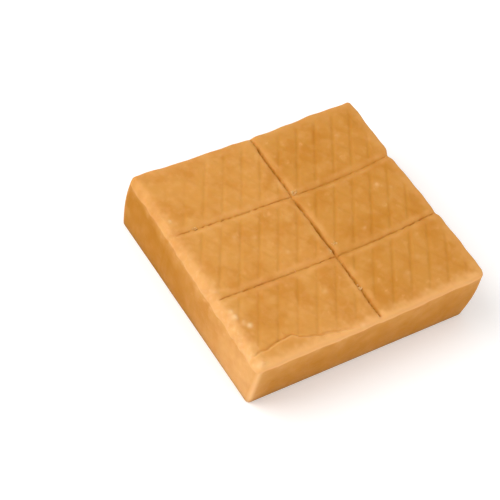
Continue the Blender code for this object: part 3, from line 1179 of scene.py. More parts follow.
@dataclass(frozen=True)
class Skin:
    """The slab's skin: how far it is pushed out, how dry, sugary, moist and worn it is, and its painted
    highlights, sheen and shade.

    Each ripple of the top, the sides and the rims goes with the height of its waves. The rims' are
    shares of their wear.
    """

    top: tuple[tuple[Ripple, float], ...] = (
        (Ripple(15 * MM, seed=101, stretch=(1, 1, 4)), 0.07 * MM),
        (Ripple(5 * MM, seed=102), 0.035 * MM),
        (Ripple(2.1 * MM, seed=103), 0.012 * MM),
    )
    sides: tuple[tuple[Ripple, float], ...] = (
        (Ripple(14 * MM, seed=111, stretch=(1, 1, 3)), 0.07 * MM),
        (Ripple(5.5 * MM, seed=112, stretch=(1, 1, 2)), 0.02 * MM),
        (Ripple(2.0 * MM, seed=113, stretch=(1, 1, 12)), 0.010 * MM),
    )
    rims: tuple[tuple[Ripple, float], ...] = (
        (Ripple(3.4 * MM, seed=121), 1.0),
        (Ripple(1.7 * MM, seed=122), 0.6),
    )
    # How far in from the rims the top's ripples are whole, and how far above the table the walls'.
    top_inset: float = 3.0 * MM
    foot_calm: float = 2.0 * MM
    # How much smoother the bottom of a whole cut is.
    cut_calm: float = 0.8
    # How far from a rim's middle its crumbled unevenness falls to a third.
    rim_reach: float = 1.7 * MM
    # How far a rim's pale band, dry sugar with a painted highlight on it, reaches onto the top, and
    # the power at which it fades there: a left or right rim's, a front or back one's.
    dry_reaches: tuple[float, float] = (3.4 * MM, 3.0 * MM)
    dry_powers: tuple[float, float] = (3.0, 2.0)
    # How much of it there is past that, and how far that fades.
    dry_tail: float = 0.12
    dry_tail_reach: float = 7.0 * MM
    # How far it reaches down the wall past the rim's rounding.
    dry_drop: float = 0.2 * MM
    # How uneven its edges are, on the top and on the wall, and the least and the most of that.
    dry_raggedness: tuple[float, float] = (0.15, 0.2)
    dry_limits: tuple[float, float] = (0.4, 1.8)
    # How strong the painted highlight on the front left upright edge is, and on the others, and how wide
    # their bands are.
    edge_highlight: tuple[float, float] = (1.0, 0.3)
    edge_highlight_reach: float = 1.3 * MM
    # How moist the right column's top is, and how far from the long score that sets in.
    right_moistness: float = 0.25
    moist_blend: float = 4.0 * MM
    # How much the walls' moistness and painted shade change from place to place, how much of it there
    # is at their tops, how fast the painted shade is whole further down towards the table, and the
    # most of it.
    moist_change: float = 0.08
    moist_patches: Ripple = Ripple(6.0 * MM, seed=144)
    moist_at_top: float = 0.3
    downward_shade_growth: float = 1.6
    moist_most: float = 0.95
    # How far from a wall its own values count a third as much as at the wall.
    wall_reach: float = 2.0 * MM
    # How pale the scuffed patches of the diamonds are, and the fine spots in them. A patch or a spot
    # starts where its ripple is so high, and is whole where it is higher by the rise.
    pale_scuff_and_highlight: float = 0.3
    scuff_patches: tuple[Ripple, float] = (Ripple(4.5 * MM, seed=141), 1.0)
    scuff_spots: tuple[Ripple, float] = (Ripple(1.6 * MM, seed=142), 0.6)
    scuff_rise: float = 1.2
    spot_share: float = 0.65
    # How far from the middle of a groove a diamond starts to stand up, in half widths of it.
    diamond_start: float = 0.4
    # How strong the painted highlight on the flanks of the scores is, how far from a score its
    # brightest line lies, how wide it is, and how much of it comes and goes.
    flank_highlight: float = 0.2
    flank_place: float = 1.5 * MM
    flank_reach: float = 1.05 * MM
    flank_patches: Ripple = Ripple(6.0 * MM, seed=143)
    flank_change: float = 0.6
    # How dark the painted contact shadow at the foot is, and how high that reaches.
    foot_shadow: float = 0.4
    foot_shadow_reach: float = 2.4 * MM
    # The pits of broken air bubbles. The shallowest is this share of the deepest.
    pit_count: int = 30
    pit_radius: tuple[float, float] = (0.25 * MM, 0.4 * MM)
    pit_depth: float = 0.04 * MM
    shallowest_pit: float = 0.3
    pit_seed: int = 131
    # How uneven the specks are.
    speck_change: float = 0.3
    specks: tuple[Speck, ...] = (
        # Crumbled places on the left rim.
        Speck(-41.1 * MM, -26.0 * MM, 1.0 * MM, 0.25 * MM, 0.55),
        Speck(-40.1 * MM, -27.3 * MM, 1.0 * MM, 0.20 * MM, 0.55),
        Speck(-43.1 * MM, -20.4 * MM, 1.0 * MM, 0.22 * MM, 0.38),
        Speck(-43.2 * MM, -22.7 * MM, 1.1 * MM, 0.25 * MM, 0.57),
        Speck(-43.5 * MM, -10.9 * MM, 0.9 * MM, 0.20 * MM, 0.32),
        Speck(-43.1 * MM, 20.9 * MM, 0.7 * MM, 0.15 * MM, 0.32),
        Speck(-45.0 * MM, -41.8 * MM, 1.2 * MM, 0.10 * MM, 0.32),
        Speck(-43.8 * MM, -41.6 * MM, 0.5 * MM, 0.20 * MM, 0.5),
        Speck(-4.9 * MM, -43.1 * MM, 0.8 * MM, 0.20 * MM, 0.32),
        # Sugar specks and scuffs on the blocks.
        Speck(33.0 * MM, 6.0 * MM, 0.92 * MM, 0.05 * MM, 0.17),
        Speck(34.2 * MM, 4.7 * MM, 0.57 * MM, 0.03 * MM, 0.14),
        Speck(37.1 * MM, 2.7 * MM, 0.69 * MM, 0.03 * MM, 0.14),
        Speck(18.3 * MM, -8.3 * MM, 0.69 * MM, 0.05 * MM, 0.17),
        Speck(32.3 * MM, -34.9 * MM, 1.03 * MM, 0.04 * MM, 0.12),
        Speck(33.1 * MM, -36.2 * MM, 0.69 * MM, 0.04 * MM, 0.14),
        Speck(32.5 * MM, 31.3 * MM, 0.92 * MM, 0.04 * MM, 0.12),
        Speck(22.2 * MM, 22.1 * MM, 0.92 * MM, 0.04 * MM, 0.12),
        Speck(-26.0 * MM, 6.6 * MM, 0.92 * MM, 0.02 * MM, 0.1),
        Speck(-22.9 * MM, 4.6 * MM, 0.92 * MM, 0.02 * MM, 0.08),
        Speck(-19.5 * MM, 3.6 * MM, 0.8 * MM, 0.03 * MM, 0.17),
        Speck(-12.2 * MM, -6.4 * MM, 1.03 * MM, 0.02 * MM, 0.1),
        Speck(-4.3 * MM, 6.4 * MM, 1.15 * MM, 0.02 * MM, 0.12),
        Speck(-13.4 * MM, -19.5 * MM, 1.38 * MM, 0.02 * MM, 0.08),
        Speck(-9.4 * MM, -25.9 * MM, 1.15 * MM, 0.02 * MM, 0.1),
        Speck(-9.9 * MM, -30.5 * MM, 1.03 * MM, 0.02 * MM, 0.08),
        Speck(20.8 * MM, -17.6 * MM, 1.15 * MM, 0.02 * MM, 0.08),
        Speck(27.7 * MM, -27.3 * MM, 1.26 * MM, 0.02 * MM, 0.08),
        Speck(21.1 * MM, -31.5 * MM, 1.03 * MM, 0.02 * MM, 0.08),
    )

    def ripple(self, ripples: tuple[tuple[Ripple, float], ...], points: np.ndarray) -> np.ndarray:
        """The sum of some ripples, each as high as its number says."""
        return sum(height * ripple.at(points) for ripple, height in ripples)

    def wall_mean(self, slab: FudgeSlab, surface: Surface, name: str) -> np.ndarray:
        """Each point's mean of a value of the walls, in which the nearest wall counts most.

        Args:
            slab: The slab's form.
            surface: The slab's surface.
            name: The name of the value, a field of WallShape that holds one number or a pair.

        Returns:
            One value for each point.
        """
        x, y = surface.plain_x, surface.plain_y
        total, weights = np.zeros(len(x)), np.zeros(len(x))
        for wall, gap in slab.gaps(x, y).items():
            value = getattr(slab.walls[wall], name)
            start, end = value if isinstance(value, tuple) else (value, value)
            share = (y / slab.length if wall.runs_along_y else x / slab.width) + 0.5
            weight = np.exp(-gap / self.wall_reach)
            total += weight * (start + (end - start) * share)
            weights += weight
        return total / weights

    def from_rim(self, slab: FudgeSlab, surface: Surface) -> np.ndarray:
        """How far each point is from the rim's middle: past it on the top, and down on the walls.

        Args:
            slab: The slab's form.
            surface: The slab's surface.

        Returns:
            One distance for each point.
        """
        nearest = np.minimum(*slab.nearer_gaps(surface.plain_x, surface.plain_y))
        down = slab.rim_height - surface.points[:, 2]
        radius = self.wall_mean(slab, surface, "rim_radius")
        on_wall = np.maximum(down - radius, 0) + radius / 3
        return np.where(surface.on_top, np.abs(nearest - radius / 3), on_wall)

    def pits(self, points: np.ndarray, faces_out: np.ndarray) -> np.ndarray:
        """Small pits where air bubbles broke, each a bell-shaped dent at a random point.

        Args:
            points: The real places of all points.
            faces_out: The numbers of those that may have a pit.

        Returns:
            One depth for each point.
        """
        random = np.random.default_rng(self.pit_seed)
        chosen = points[random.choice(faces_out, self.pit_count, replace=False)]
        radii = random.uniform(*self.pit_radius, size=self.pit_count)
        depths = self.pit_depth * random.uniform(self.shallowest_pit, 1, size=self.pit_count)
        dent = np.zeros(len(points))
        squared = (points**2).sum(axis=1)
        for middle, radius, depth in zip(chosen, radii, depths):
            distance = np.sqrt(np.maximum(squared - 2 * points @ middle + middle @ middle, 0))
            dent = np.maximum(dent, depth * bell(distance, radius))
        return dent

    def push(self, slab: FudgeSlab, surface: Surface) -> tuple[np.ndarray, dict[str, np.ndarray]]:
        """How far each point is pushed out, and what the finish reads at each point.

        Args:
            slab: The slab's form.
            surface: The slab's surface.

        Returns:
            The distances, and by name the values of dry_and_highlight (dry skin with painted
            highlights and sheen), sugar, moist_and_shade (moist tone with painted shade), cut_shade
            (painted shade in the cuts), worn and foot (a painted contact shadow), from 0 to 1.
        """
        x, y, points = surface.plain_x, surface.plain_y, surface.points
        on_top, underneath = surface.on_top, surface.underneath
        inside = smooth(np.minimum(*slab.nearer_gaps(x, y)) / self.top_inset)
        near_rim = bell(self.from_rim(slab, surface), self.rim_reach)
        wear = self.wall_mean(slab, surface, "wear")
        most_wear = max(max(shape.wear) for shape in slab.walls.values())
        above_foot = smooth(points[:, 2] / self.foot_calm)

        cuts = [np.where(on_top, share, 0.0) for share in slab.cut_shares(x, y)]
        crumble = self.ripple(self.rims, points)
        out = np.where(on_top, self.ripple(self.top, points) * inside, 0.0)
        out += np.where(on_top, 0.0, self.ripple(self.sides, points) * above_foot * (1 - near_rim))
        out += wear * near_rim * crumble * above_foot
        out -= self.pits(points, np.flatnonzero(~underneath)) * above_foot
        sugar = np.zeros_like(out)
        for speck in self.specks:
            near = bell(np.hypot(x - speck.x, y - speck.y), speck.radius)
            near = near * (1 + self.speck_change * crumble)
            sugar = np.maximum(sugar, np.where(on_top, speck.paleness * near, 0.0))
            out += np.where(on_top, speck.height * near, 0.0)
        out *= np.where(underneath, 0.0, 1 - self.cut_calm * np.maximum(*cuts))

        scuffs_and_highlights = np.where(on_top, self.scuffs_and_highlights(slab, surface), 0.0)
        # Painted shade in the bottoms of the cuts.
        cut_shades = (dark * share for dark, share in zip(slab.scores.cut_shade_strength, cuts))
        # dry_and_highlight holds dry skin and painted highlights and sheen, and moist_and_shade holds the
        # moist tone and painted shade.
        values = {
            "dry_and_highlight": np.where(underneath, 0.0, np.maximum(self.dryness_and_highlight(slab, surface), scuffs_and_highlights)),
            "sugar": sugar,
            "moist_and_shade": self.moistness_and_shade(slab, surface),
            "worn": (near_rim * wear / most_wear) ** 2,
            "cut_shade": np.maximum(*cut_shades),
            # foot is a painted contact shadow at the table.
            "foot": np.where(on_top, 0.0, self.foot_shadow * bell(points[:, 2], self.foot_shadow_reach)),
        }
        return out, {name: np.clip(value, 0, 1) for name, value in values.items()}

    def dryness_and_highlight(self, slab: FudgeSlab, surface: Surface) -> np.ndarray:
        """How dry and pale each point is for being near a rim, an upright edge or a dry wall.

        A rim's band fades as exp(-(away / reach)^power) onto the top, with a faint tail past that, and
        as a bell curve down the wall. An upright edge's painted highlight is a bell curve too.

        Args:
            slab: The slab's form.
            surface: The slab's surface.

        Returns:
            One share for each point.
        """
        side_gap, end_gap = slab.nearer_gaps(surface.plain_x, surface.plain_y)
        on_top, beside = surface.on_top, side_gap < end_gap
        inward = np.minimum(side_gap, end_gap)
        down = slab.rim_height - surface.points[:, 2]
        radius = self.wall_mean(slab, surface, "rim_radius")
        crumbled = self.ripple(self.rims, surface.points)
        top_change, wall_change = (
            np.clip(1 + raggedness * crumbled, *self.dry_limits) for raggedness in self.dry_raggedness
        )
        onto_top = inward / np.where(beside, *self.dry_reaches) * top_change
        onto_wall = down / (radius + self.dry_drop) * wall_change
        tail = self.dry_tail * bell(inward, self.dry_tail_reach)
        top_band = tail + (1 - tail) * np.exp(-(onto_top ** np.where(beside, *self.dry_powers)))
        band = np.where(on_top, top_band, np.exp(-(onto_wall**2)))
        # The rim band is dry sugar with a painted highlight, the face value a painted sheen, and the edge
        # band a painted highlight.
        rim = self.wall_mean(slab, surface, "rim_dryness_and_highlight") * band
        face = np.where(on_top, 0.0, self.wall_mean(slab, surface, "face_sheen"))
        strength = np.where((surface.plain_x < 0) & (surface.plain_y < 0), *self.edge_highlight)
        edge = np.where(on_top, 0.0, strength * bell(side_gap + end_gap, self.edge_highlight_reach))
        return np.maximum.reduce([rim, face, edge])

    def moistness_and_shade(self, slab: FudgeSlab, surface: Surface) -> np.ndarray:
        """How moist and dark each point is.

        The walls are moist and unevenly so, with painted shade that grows towards the table and at the
        back of the left wall. The right blocks' tops are moist too, and the bottoms of the pattern's
        grooves are darkened with painted shade.

        Args:
            slab: The slab's form.
            surface: The slab's surface.

        Returns:
            One share for each point.
        """
        down = 1 - surface.points[:, 2] / slab.rim_height
        uneven = 1 + self.moist_change * self.moist_patches.at(surface.points)
        downward_shade = self.moist_at_top + (1 - self.moist_at_top) * smooth(down * self.downward_shade_growth)
        face = self.wall_mean(slab, surface, "moistness_and_shade") * uneven * downward_shade
        past_score = surface.plain_x - slab.scores.long_x
        right = smooth((past_score + self.moist_blend) / (2 * self.moist_blend))
        grooves = slab.groove_drop(surface.plain_x, surface.plain_y) / max(slab.pattern.depths)
        top = self.right_moistness * right + slab.pattern.moistness_and_shade * grooves
        return np.where(surface.on_top, top, np.minimum(face, self.moist_most * uneven))

    def scuffs_and_highlights(self, slab: FudgeSlab, surface: Surface) -> np.ndarray:
        """Where the top is pale: scuffed on the diamonds, and painted highlights along the scores' flanks
        and in front of the flap's torn edge.
        The diamonds' scuffs are patches with finer spots in them. The painted highlights are bell curves.

        Args:
            slab: The slab's form.
            surface: The slab's surface.

        Returns:
            One share for each point.
        """
        x, y, points = surface.plain_x, surface.plain_y, surface.points
        patches, spots = (
            smooth((ripple.at(points) - start) / self.scuff_rise)
            for ripple, start in (self.scuff_patches, self.scuff_spots)
        )
        from_groove = np.minimum(*slab.pattern.distances(x, y)) / slab.pattern.half_width
        raised = smooth((from_groove - self.diamond_start) / (1 - self.diamond_start))
        raised = self.pale_scuff_and_highlight * raised * slab.pattern_share(x, y)
        diamonds = raised * patches * (1 - self.spot_share + self.spot_share * spots)
        flap = slab.flap
        ahead = flap.torn_edge(x) - slab.gaps(x, y)[Wall.FRONT]
        # A painted highlight on the lip in front of the flap's torn edge.
        torn = flap.pale_scuff_and_highlight * bell(ahead - flap.lip_highlight_place, flap.lip_highlight_reach) * flap.share(x)
        # Painted highlights on the flanks of the scores.
        long_flank, cross_flank = (
            bell(across - self.flank_place, self.flank_reach) for across in slab.score_distances(x, y)
        )
        beside = np.maximum(long_flank, cross_flank)
        coming = smooth(0.5 + 0.5 * self.flank_patches.at(points))
        flanks = self.flank_highlight * beside * (1 - self.flank_change + self.flank_change * coming)
        return diamonds + torn + flanks


# Crumbs


def round_solid() -> tuple[np.ndarray, np.ndarray]:
    """A small ball of triangles: an icosahedron whose every face is cut in four.

    Returns:
        Its points, at a distance of 1 from its middle, and its faces.
    """
    golden = (1 + math.sqrt(5)) / 2
    signs = np.array([[-1, 1], [1, 1], [-1, -1], [1, -1]], float)
    zeros = np.zeros((4, 1))
    flat = np.hstack([signs * [1, golden], zeros])
    points = np.concatenate([flat, np.roll(flat, 1, axis=1), np.roll(flat, 2, axis=1)])
    length = np.linalg.norm(points[:, None] - points[None], axis=2)
    joined = np.isclose(length, 2.0)
    trios = np.array(np.meshgrid(*[np.arange(12)] * 3, indexing="ij")).reshape(3, -1).T
    first, second, third = trios.T
    ordered = (first < second) & (second < third)
    whole = joined[first, second] & joined[second, third] & joined[first, third] & ordered
    faces = trios[whole]
    corners = points[faces]
    across = np.cross(corners[:, 1] - corners[:, 0], corners[:, 2] - corners[:, 0])
    facing = np.einsum("ij,ij->i", across, corners.mean(axis=1))
    faces = np.where(facing[:, None] > 0, faces, faces[:, ::-1])
    edges = np.sort(np.concatenate([faces[:, [0, 1]], faces[:, [1, 2]], faces[:, [2, 0]]]), axis=1)
    edges, where = np.unique(edges, axis=0, return_inverse=True)
    middles = where.reshape(3, -1).T + len(points)
    points = np.concatenate([points, points[edges].mean(axis=1)])
    a, b, c = faces.T
    ab, bc, ca = middles.T
    quarters = [np.stack(trio, axis=1) for trio in ((a, ab, ca), (ab, b, bc), (ca, bc, c), (ab, bc, ca))]
    return points / np.linalg.norm(points, axis=1, keepdims=True), np.concatenate(quarters)


@dataclass(frozen=True)
class Heap:
    """A few crumbs that lie together.

    Attributes:
        x: The heap's middle across the plain outline.
        y: The heap's middle along the plain outline.
        reach: How far its crumbs lie from there.
        count: How many crumbs it has.
        size: The radius of its largest crumb.
    """

    x: float
    y: float
    reach: float
    count: int
    size: float


@dataclass
class Crumbs:
    """Crumbs that the blade lifted out where the scores cross and where they reach the rims."""

    heaps: tuple[Heap, ...] = (
        Heap(4.3 * MM, 15.9 * MM, 1.0 * MM, 9, 0.45 * MM),
        Heap(1.2 * MM, -11.5 * MM, 0.9 * MM, 7, 0.36 * MM),
        Heap(4.9 * MM, -9.6 * MM, 1.1 * MM, 7, 0.36 * MM),
        Heap(2.8 * MM, -29.5 * MM, 0.5 * MM, 5, 0.5 * MM),
        Heap(2.5 * MM, -28.0 * MM, 0.4 * MM, 2, 0.3 * MM),
        Heap(-36.4 * MM, 15.2 * MM, 0.8 * MM, 5, 0.4 * MM),
        Heap(-13.7 * MM, -13.9 * MM, 0.6 * MM, 3, 0.26 * MM),
        Heap(-43.5 * MM, -42.2 * MM, 0.9 * MM, 3, 0.24 * MM),
        Heap(-43.6 * MM, 20.9 * MM, 0.6 * MM, 2, 0.28 * MM),
    )
    # The smallest crumb of a heap, as a share of the largest.
    smallest: float = 0.35
    # The least and the most of a crumb's length, width and height, as shares of its size.
    least_shape: tuple[float, float, float] = (0.8, 0.8, 0.5)
    most_shape: tuple[float, float, float] = (1.3, 1.0, 0.85)
    # How far a crumb's points are off a ball, as a share of its size, the most of that as a multiple
    # of it, and how much of a crumb is sunk into the slab.
    roughness: float = 0.28
    roughest: float = 1.5
    sunk: float = 0.42
    # How pale the crumbs are, partly dry and partly a painted highlight that lifts their own shade, and
    # how much coarse sugar shows on them, from the least to the most.
    dryness_and_highlight: tuple[float, float] = (0.4, 0.8)
    sugar: tuple[float, float] = (0.0, 0.1)
    seed: int = 211

    def build(self, slab: FudgeSlab, finish: bpy.types.Material) -> bpy.types.Object:
        """Makes all crumbs as one joined mesh.

        Each is a ball, flattened, stretched and turned at random, with every point moved in or out.

        Args:
            slab: The slab that they lie on, already built.
            finish: Their material.

        Returns:
            The object.
        """
        random = np.random.default_rng(self.seed)
        ball, faces = round_solid()
        middles, sizes = [], []
        for heap in self.heaps:
            turns = random.uniform(0, 2 * math.pi, heap.count)
            reaches = heap.reach * np.sqrt(random.uniform(0, 1, heap.count))
            across, along = reaches * np.cos(turns), reaches * np.sin(turns)
            middles.append(np.stack([heap.x + across, heap.y + along], axis=-1))
            sizes.append(heap.size * random.uniform(self.smallest, 1, heap.count))
        places, radii = np.concatenate(middles), np.concatenate(sizes)
        count = len(radii)
        x, y = places.T
        heights = slab.top_height(x, y) + slab.cut_drop(x, y)
        ground = slab.shaped(x, y, heights) + slab.to_frame

        scales = radii[:, None] * random.uniform(self.least_shape, self.most_shape, (count, 3))
        bumps = random.normal(size=(count, len(ball), 1)).clip(-self.roughest, self.roughest)
        bumps = 1 + self.roughness * bumps
        lumps = ball[None] * bumps * scales[:, None]
        turns = random.uniform(0, 2 * math.pi, count)
        cosine, sine = np.cos(turns)[:, None], np.sin(turns)[:, None]
        turned = np.stack([lumps[..., 0] * cosine - lumps[..., 1] * sine,
                           lumps[..., 0] * sine + lumps[..., 1] * cosine, lumps[..., 2]], axis=-1)
        lift = scales[:, 2] * (1 - 2 * self.sunk)
        points = turned + ground[:, None] + (lift[:, None] * [0.0, 0.0, 1.0])[:, None]
        all_faces = faces[None] + len(ball) * np.arange(count)[:, None, None]
        empty = np.empty((0, 4), int)
        made = mesh_object("fudge_crumbs", points.reshape(-1, 3), empty, all_faces.reshape(-1, 3))
        for name, least_and_most in (("dry_and_highlight", self.dryness_and_highlight), ("sugar", self.sugar)):
            give_values(made, name, np.repeat(random.uniform(*least_and_most, count), len(ball)))
        put_on_frame(made, finish)
        return made


# Finishes


def linear(colour: str) -> tuple[float, float, float, float]:
    """Turns an sRGB colour to linear light.

    Args:
        colour: A hex value such as #D08A3C.

    Returns:
        Red, green, blue and full alpha.
    """
    shares = np.array([int(colour[place:place + 2], 16) for place in (1, 3, 5)]) / 255
    values = np.where(shares <= 0.04045, shares / 12.92, ((shares + 0.055) / 1.055) ** 2.4)
    return (*(float(value) for value in values), 1.0)


def add_node(
    tree: bpy.types.NodeTree,
    kind: str,
    inputs: dict[str | int, object],
    output: str | int = 0,
    **settings: object,
) -> bpy.types.NodeSocket:
    """Adds a node with its settings, and fills or links its inputs.

    Args:
        tree: The node tree to add it to.
        kind: The node's type.
        inputs: By name or number, a value for an input or the socket to link to it.
        output: The name or number of the output that is wanted.
        settings: The node's own properties.

    Returns:
        That output of the new node.
    """
    made = tree.nodes.new(kind)
    for name, value in settings.items():
        setattr(made, name, value)
    for name, value in inputs.items():
        if isinstance(value, bpy.types.NodeSocket):
            tree.links.new(value, made.inputs[name])
        else:
            made.inputs[name].default_value = value
    return made.outputs[output]


def bare_material(name: str) -> tuple[bpy.types.Material, bpy.types.NodeTree, bpy.types.Node]:
    """Makes a new material that is only its shader.

    Args:
        name: The material's name.

    Returns:
        The material, its node tree and its Principled shader.
    """
    material = bpy.data.materials.new(name)
    material.use_nodes = True
    tree = material.node_tree
    return material, tree, tree.nodes["Principled BSDF"]


@dataclass(frozen=True)
class GrainedFudge:
    """Grained fudge: sugar, butter and cream boiled together and beaten until it crystallised.

    Crystals too small to see make it opaque and satin. Light goes a millimetre or so into it and
    comes out warmer, which softens its cuts. A dry skin of coarser sugar shows paler on worn rims
    and scuffs, and painted highlights and sheen make rims, upright edges and a wall's face paler
    still. Cut sides are moister than the top, so they are warmer and darker, and painted shade
    darkens them further towards the table. The bottoms of the cuts are darkened with painted
    shade, and the foot with a painted contact shadow.
    """

    # The two tones of its mottling, the moist sides with painted shade, the dry skin, which also
    # serves for painted highlights and sheen, coarse sugar, the painted shade of the cuts' bottoms,
    # and the painted contact shadow at the foot.
    warm: str = "#CA8739"
    light: str = "#D39448"
    moist_and_shade: str = "#B4720B"
    dry_and_highlight: str = "#F4BC7C"
    sugar: str = "#F8D19B"
    cut_shade_colour: str = "#B2730E"
    # The foot colour is a painted contact shadow.
    foot: str = "#62541C"
    # Sugar has an IOR of 1.54 and butterfat 1.46.
    ior: float = 1.48
    # The roughness changes a little with the flecks, over this part of their noise.
    roughness: tuple[float, float] = (0.38, 0.48)
    rough_range: tuple[float, float] = (0.3, 0.7)
    specular: float = 0.06
    subsurface: float = 0.35
    scatter_distance: float = 1.6 * MM
    scatter_radii: tuple[float, float, float] = (1.0, 0.45, 0.15)
    # Real mottling is 4 to 12 mm across, the sugar bloom on it comes in clouds of 2 to 4 mm, and
    # coarser flecks are 1 to 2 mm. The crystals' grain is under 0.1 mm, so it is drawn five times
    # coarser to show at all.
    mottle_size: float = 9.0 * MM
    bloom_size: float = 3.2 * MM
    fleck_size: float = 1.4 * MM
    grain_size: float = 0.5 * MM
    grain_depth: float = 0.018 * MM
    # Where in their noise the light clouds, the bloom and the loose sugar start, and are whole.
    cloud_range: tuple[float, float] = (0.32, 0.6)
    bloom_range: tuple[float, float] = (0.42, 0.72)
    loose_range: tuple[float, float] = (0.46, 0.68)
    # How much deeper the flecks are than the grain.
    fleck_depth: float = 2.0
    # How much of the dry skin's colour the densest bloom has.
    bloom_share: float = 0.14
    # Worn rims are crumbly: how much loose sugar shows there, and how much deeper the flecks are.
    worn_sugar: float = 0.3
    worn_depth: float = 7.0

    def material(self, name: str) -> bpy.types.Material:
        """The material of everything made of this fudge.

        Args:
            name: The material's name.

        Returns:
            The material, which reads the values of the slab's skin where a mesh has them.
        """
        material, tree, shader = bare_material(name)
        place = add_node(tree, "ShaderNodeTexCoord", {}, "Object")
        dry_and_highlight, sugar, moist_and_shade, cut_shade, worn, foot = (
            add_node(tree, "ShaderNodeAttribute", {}, "Fac", attribute_name=value)
            for value in ("dry_and_highlight", "sugar", "moist_and_shade", "cut_shade", "worn", "foot")
        )
        mottle, bloom, fleck, grain = (
            add_node(tree, "ShaderNodeTexNoise", {"Vector": place, "Scale": 1 / size, "Detail": 3.0})
            for size in (self.mottle_size, self.bloom_size, self.fleck_size, self.grain_size)
        )
        ranges = ((mottle, self.cloud_range, 1.0), (bloom, self.bloom_range, self.bloom_share),
                  (fleck, self.loose_range, self.worn_sugar))
        shares = []
        for noise, (start, whole), most in ranges:
            inputs = {"Value": noise, "From Min": start, "From Max": whole, "To Max": most}
            shares.append(add_node(tree, "ShaderNodeMapRange", inputs, interpolation_type="SMOOTHSTEP"))
        clouds, bloomed, loose = shares
        crumbly = add_node(tree, "ShaderNodeMath", {0: loose, 1: worn}, operation="MULTIPLY")
        # Each colour is laid over the ones before it, as far as its share says.
        colour = linear(self.warm)
        # The moist, dry, cut and foot layers carry painted shade, highlights and sheen as well as the
        # fudge's own tones.
        layers = ((clouds, self.light), (bloomed, self.dry_and_highlight), (moist_and_shade, self.moist_and_shade), (dry_and_highlight, self.dry_and_highlight),
                  (crumbly, self.sugar), (sugar, self.sugar), (cut_shade, self.cut_shade_colour), (foot, self.foot))
        for share, over in layers:
            inputs = {0: share, 6: colour, 7: linear(over)}
            colour = add_node(tree, "ShaderNodeMix", inputs, 2, data_type="RGBA")
        tree.links.new(colour, shader.inputs["Base Color"])

        (start, whole), (smoothest, roughest) = self.rough_range, self.roughness
        inputs = {"Value": fleck, "From Min": start, "From Max": whole}
        inputs |= {"To Min": smoothest, "To Max": roughest}
        gloss = add_node(tree, "ShaderNodeMapRange", inputs)
        tree.links.new(gloss, shader.inputs["Roughness"])
        inputs = {0: worn, 1: self.worn_depth, 2: self.fleck_depth}
        rough = add_node(tree, "ShaderNodeMath", inputs, operation="MULTIPLY_ADD")
        heights = add_node(tree, "ShaderNodeMath", {0: fleck, 1: rough, 2: grain}, operation="MULTIPLY_ADD")
        inputs = {"Height": heights, "Distance": self.grain_depth, "Strength": 1.0}
        tree.links.new(add_node(tree, "ShaderNodeBump", inputs), shader.inputs["Normal"])
        shader.inputs["IOR"].default_value = self.ior
        shader.inputs["Specular IOR Level"].default_value = self.specular
        shader.inputs["Subsurface Weight"].default_value = self.subsurface
        shader.inputs["Subsurface Scale"].default_value = self.scatter_distance
        shader.inputs["Subsurface Radius"].default_value = self.scatter_radii
        return material


@dataclass(frozen=True)
class MattePaper:
    """White studio paper: matte, and even all over but for its faint fibre."""

    colour: str = "#FAF9F8"
    shaded: str = "#F6F5F4"
    roughness: float = 0.9
    specular: float = 0.1
    # It lies on a light table, which shines through it.
    glow: float = 0.20
    fibre_size: float = 1.5 * MM

    def material(self, name: str) -> bpy.types.Material:
        """The paper's material.

        Args:
            name: The material's name.

        Returns:
            The material.
        """
        material, tree, shader = bare_material(name)
        place = add_node(tree, "ShaderNodeTexCoord", {}, "Object")
        fibre = add_node(tree, "ShaderNodeTexNoise", {"Vector": place, "Scale": 1 / self.fibre_size})
        inputs = {0: fibre, 6: linear(self.colour), 7: linear(self.shaded)}
        mixed = add_node(tree, "ShaderNodeMix", inputs, 2, data_type="RGBA")
        tree.links.new(mixed, shader.inputs["Base Color"])
        shader.inputs["Roughness"].default_value = self.roughness
        shader.inputs["Specular IOR Level"].default_value = self.specular
        shader.inputs["Emission Color"].default_value = linear(self.colour)
        shader.inputs["Emission Strength"].default_value = self.glow
        return material


# The studio


@dataclass(frozen=True)
class SoftLamp:
    """A square soft box.

    Attributes:
        name: Its name.
        place: Where it hangs.
        side: The length of its sides.
        power: Its power in watts.
        colour: Its colour as sRGB hex.
    """

    name: str
    place: tuple[float, float, float]
    side: float
    power: float
    colour: str

    def hang(self, target: Vector) -> None:
        """Adds the lamp to the scene.

        Args:
            target: The place that it is turned towards.
        """
        data = bpy.data.lights.new(self.name, "AREA")
        data.shape = "SQUARE"
        data.size = self.side
        data.energy = self.power
        data.color = linear(self.colour)[:3]
        lamp = bpy.data.objects.new(self.name, data)
        lamp.location = self.place
        lamp.rotation_euler = (target - Vector(self.place)).to_track_quat("-Z", "Y").to_euler()
        bpy.context.scene.collection.objects.link(lamp)


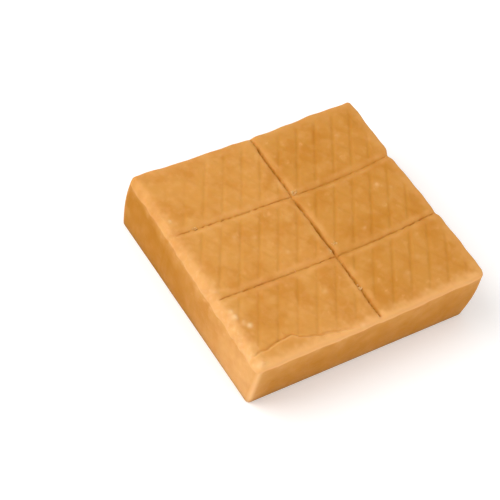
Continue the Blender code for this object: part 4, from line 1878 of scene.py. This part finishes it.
@dataclass
class Studio:
    """A pale paper floor, soft lamps, a pale surround, and the camera."""

    floor_side: float = 6.0
    surround: str = "#FFFFFF"
    surround_strength: float = 0.40
    lamps: tuple[SoftLamp, ...] = (
        SoftLamp("key", (-0.463, 0.325, 0.578), 0.7, 5.15, "#FFFFFF"),
        SoftLamp("front", (0.188, -0.700, 0.350), 0.5, 1.9, "#FFFFFF"),
        SoftLamp("top", (0.02, -0.10, 0.85), 0.8, 1.3, "#FFFFFF"),
    )
    # The camera looks down on the slab's front left edge. Its heading is clockwise from +Y, its
    # pitch below the horizon, and its roll turns the picture.
    camera_place: tuple[float, float, float] = (-0.2236020, -0.2266175, 0.4074438)
    heading: float = math.radians(41.574)
    pitch: float = math.radians(51.839)
    roll: float = math.radians(-13.597)
    lens: float = 104.02
    sensor: float = 36.0

    def lay_floor(self) -> None:
        """Lays the paper floor at the height that the slab stands on."""
        half = self.floor_side / 2
        across, along = np.meshgrid([-half, half], [-half, half])
        points = np.stack([across, along, np.zeros_like(across)], axis=-1).reshape(-1, 3)
        floor = mesh_object("paper_floor", points, np.array([[0, 1, 3, 2]]))
        floor.data.materials.append(MattePaper().material("matte_paper"))
        floor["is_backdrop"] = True

    def light(self, target: Vector) -> None:
        """Hangs the lamps and sets the pale surround.

        Args:
            target: The place that the lamps are turned towards.
        """
        world = bpy.data.worlds.new("pale_surround")
        world.use_nodes = True
        background = world.node_tree.nodes["Background"]
        background.inputs["Color"].default_value = linear(self.surround)
        background.inputs["Strength"].default_value = self.surround_strength
        bpy.context.scene.world = world
        bpy.context.scene.view_settings.view_transform = "Standard"
        for lamp in self.lamps:
            lamp.hang(target)

    def place_camera(self) -> None:
        """Sets up the camera.

        Its axes come from the heading and the pitch, and are then turned by the roll about the way
        it looks.
        """
        ahead = Vector((math.sin(self.heading) * math.cos(self.pitch),
                        math.cos(self.heading) * math.cos(self.pitch), -math.sin(self.pitch)))
        level_right = ahead.cross(Vector((0, 0, 1))).normalized()
        level_down = ahead.cross(level_right)
        right = level_right * math.cos(self.roll) + level_down * math.sin(self.roll)
        down = level_down * math.cos(self.roll) - level_right * math.sin(self.roll)
        data = bpy.data.cameras.new("camera")
        data.lens, data.sensor_width = self.lens, self.sensor
        data.clip_start, data.clip_end = 0.01, 20.0
        camera = bpy.data.objects.new("camera", data)
        axes = Matrix((right, -down, -ahead)).transposed()
        camera.matrix_world = Matrix.Translation(self.camera_place) @ axes.to_4x4()
        bpy.context.scene.collection.objects.link(camera)
        bpy.context.scene.camera = camera


def write_sizes() -> None:
    boxes = {
        "cad": [list(corner) for corner in cad_box],
        "visual": [list(corner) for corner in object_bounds()],
    }
    for name, (low, high) in boxes.items():
        log.info("%s box: %s mm", name, [round((b - a) / MM, 2) for a, b in zip(low, high)])


def main() -> None:
    """Builds the slab, its crumbs and the studio."""
    logging.basicConfig(level=logging.INFO, format="%(name)s: %(message)s")
    studio = Studio()
    studio.place_camera()
    fudge = GrainedFudge().material("grained_fudge")
    slab = FudgeSlab()
    for piece in (slab.build(Skin(), fudge), Crumbs().build(slab, fudge)):
        log.info("%s: %d triangles", piece.name, triangle_count(piece))
    studio.lay_floor()
    low, high = cad_box
    studio.light((low + high) / 2)
    write_sizes()


if __name__ == "__main__":
    main()
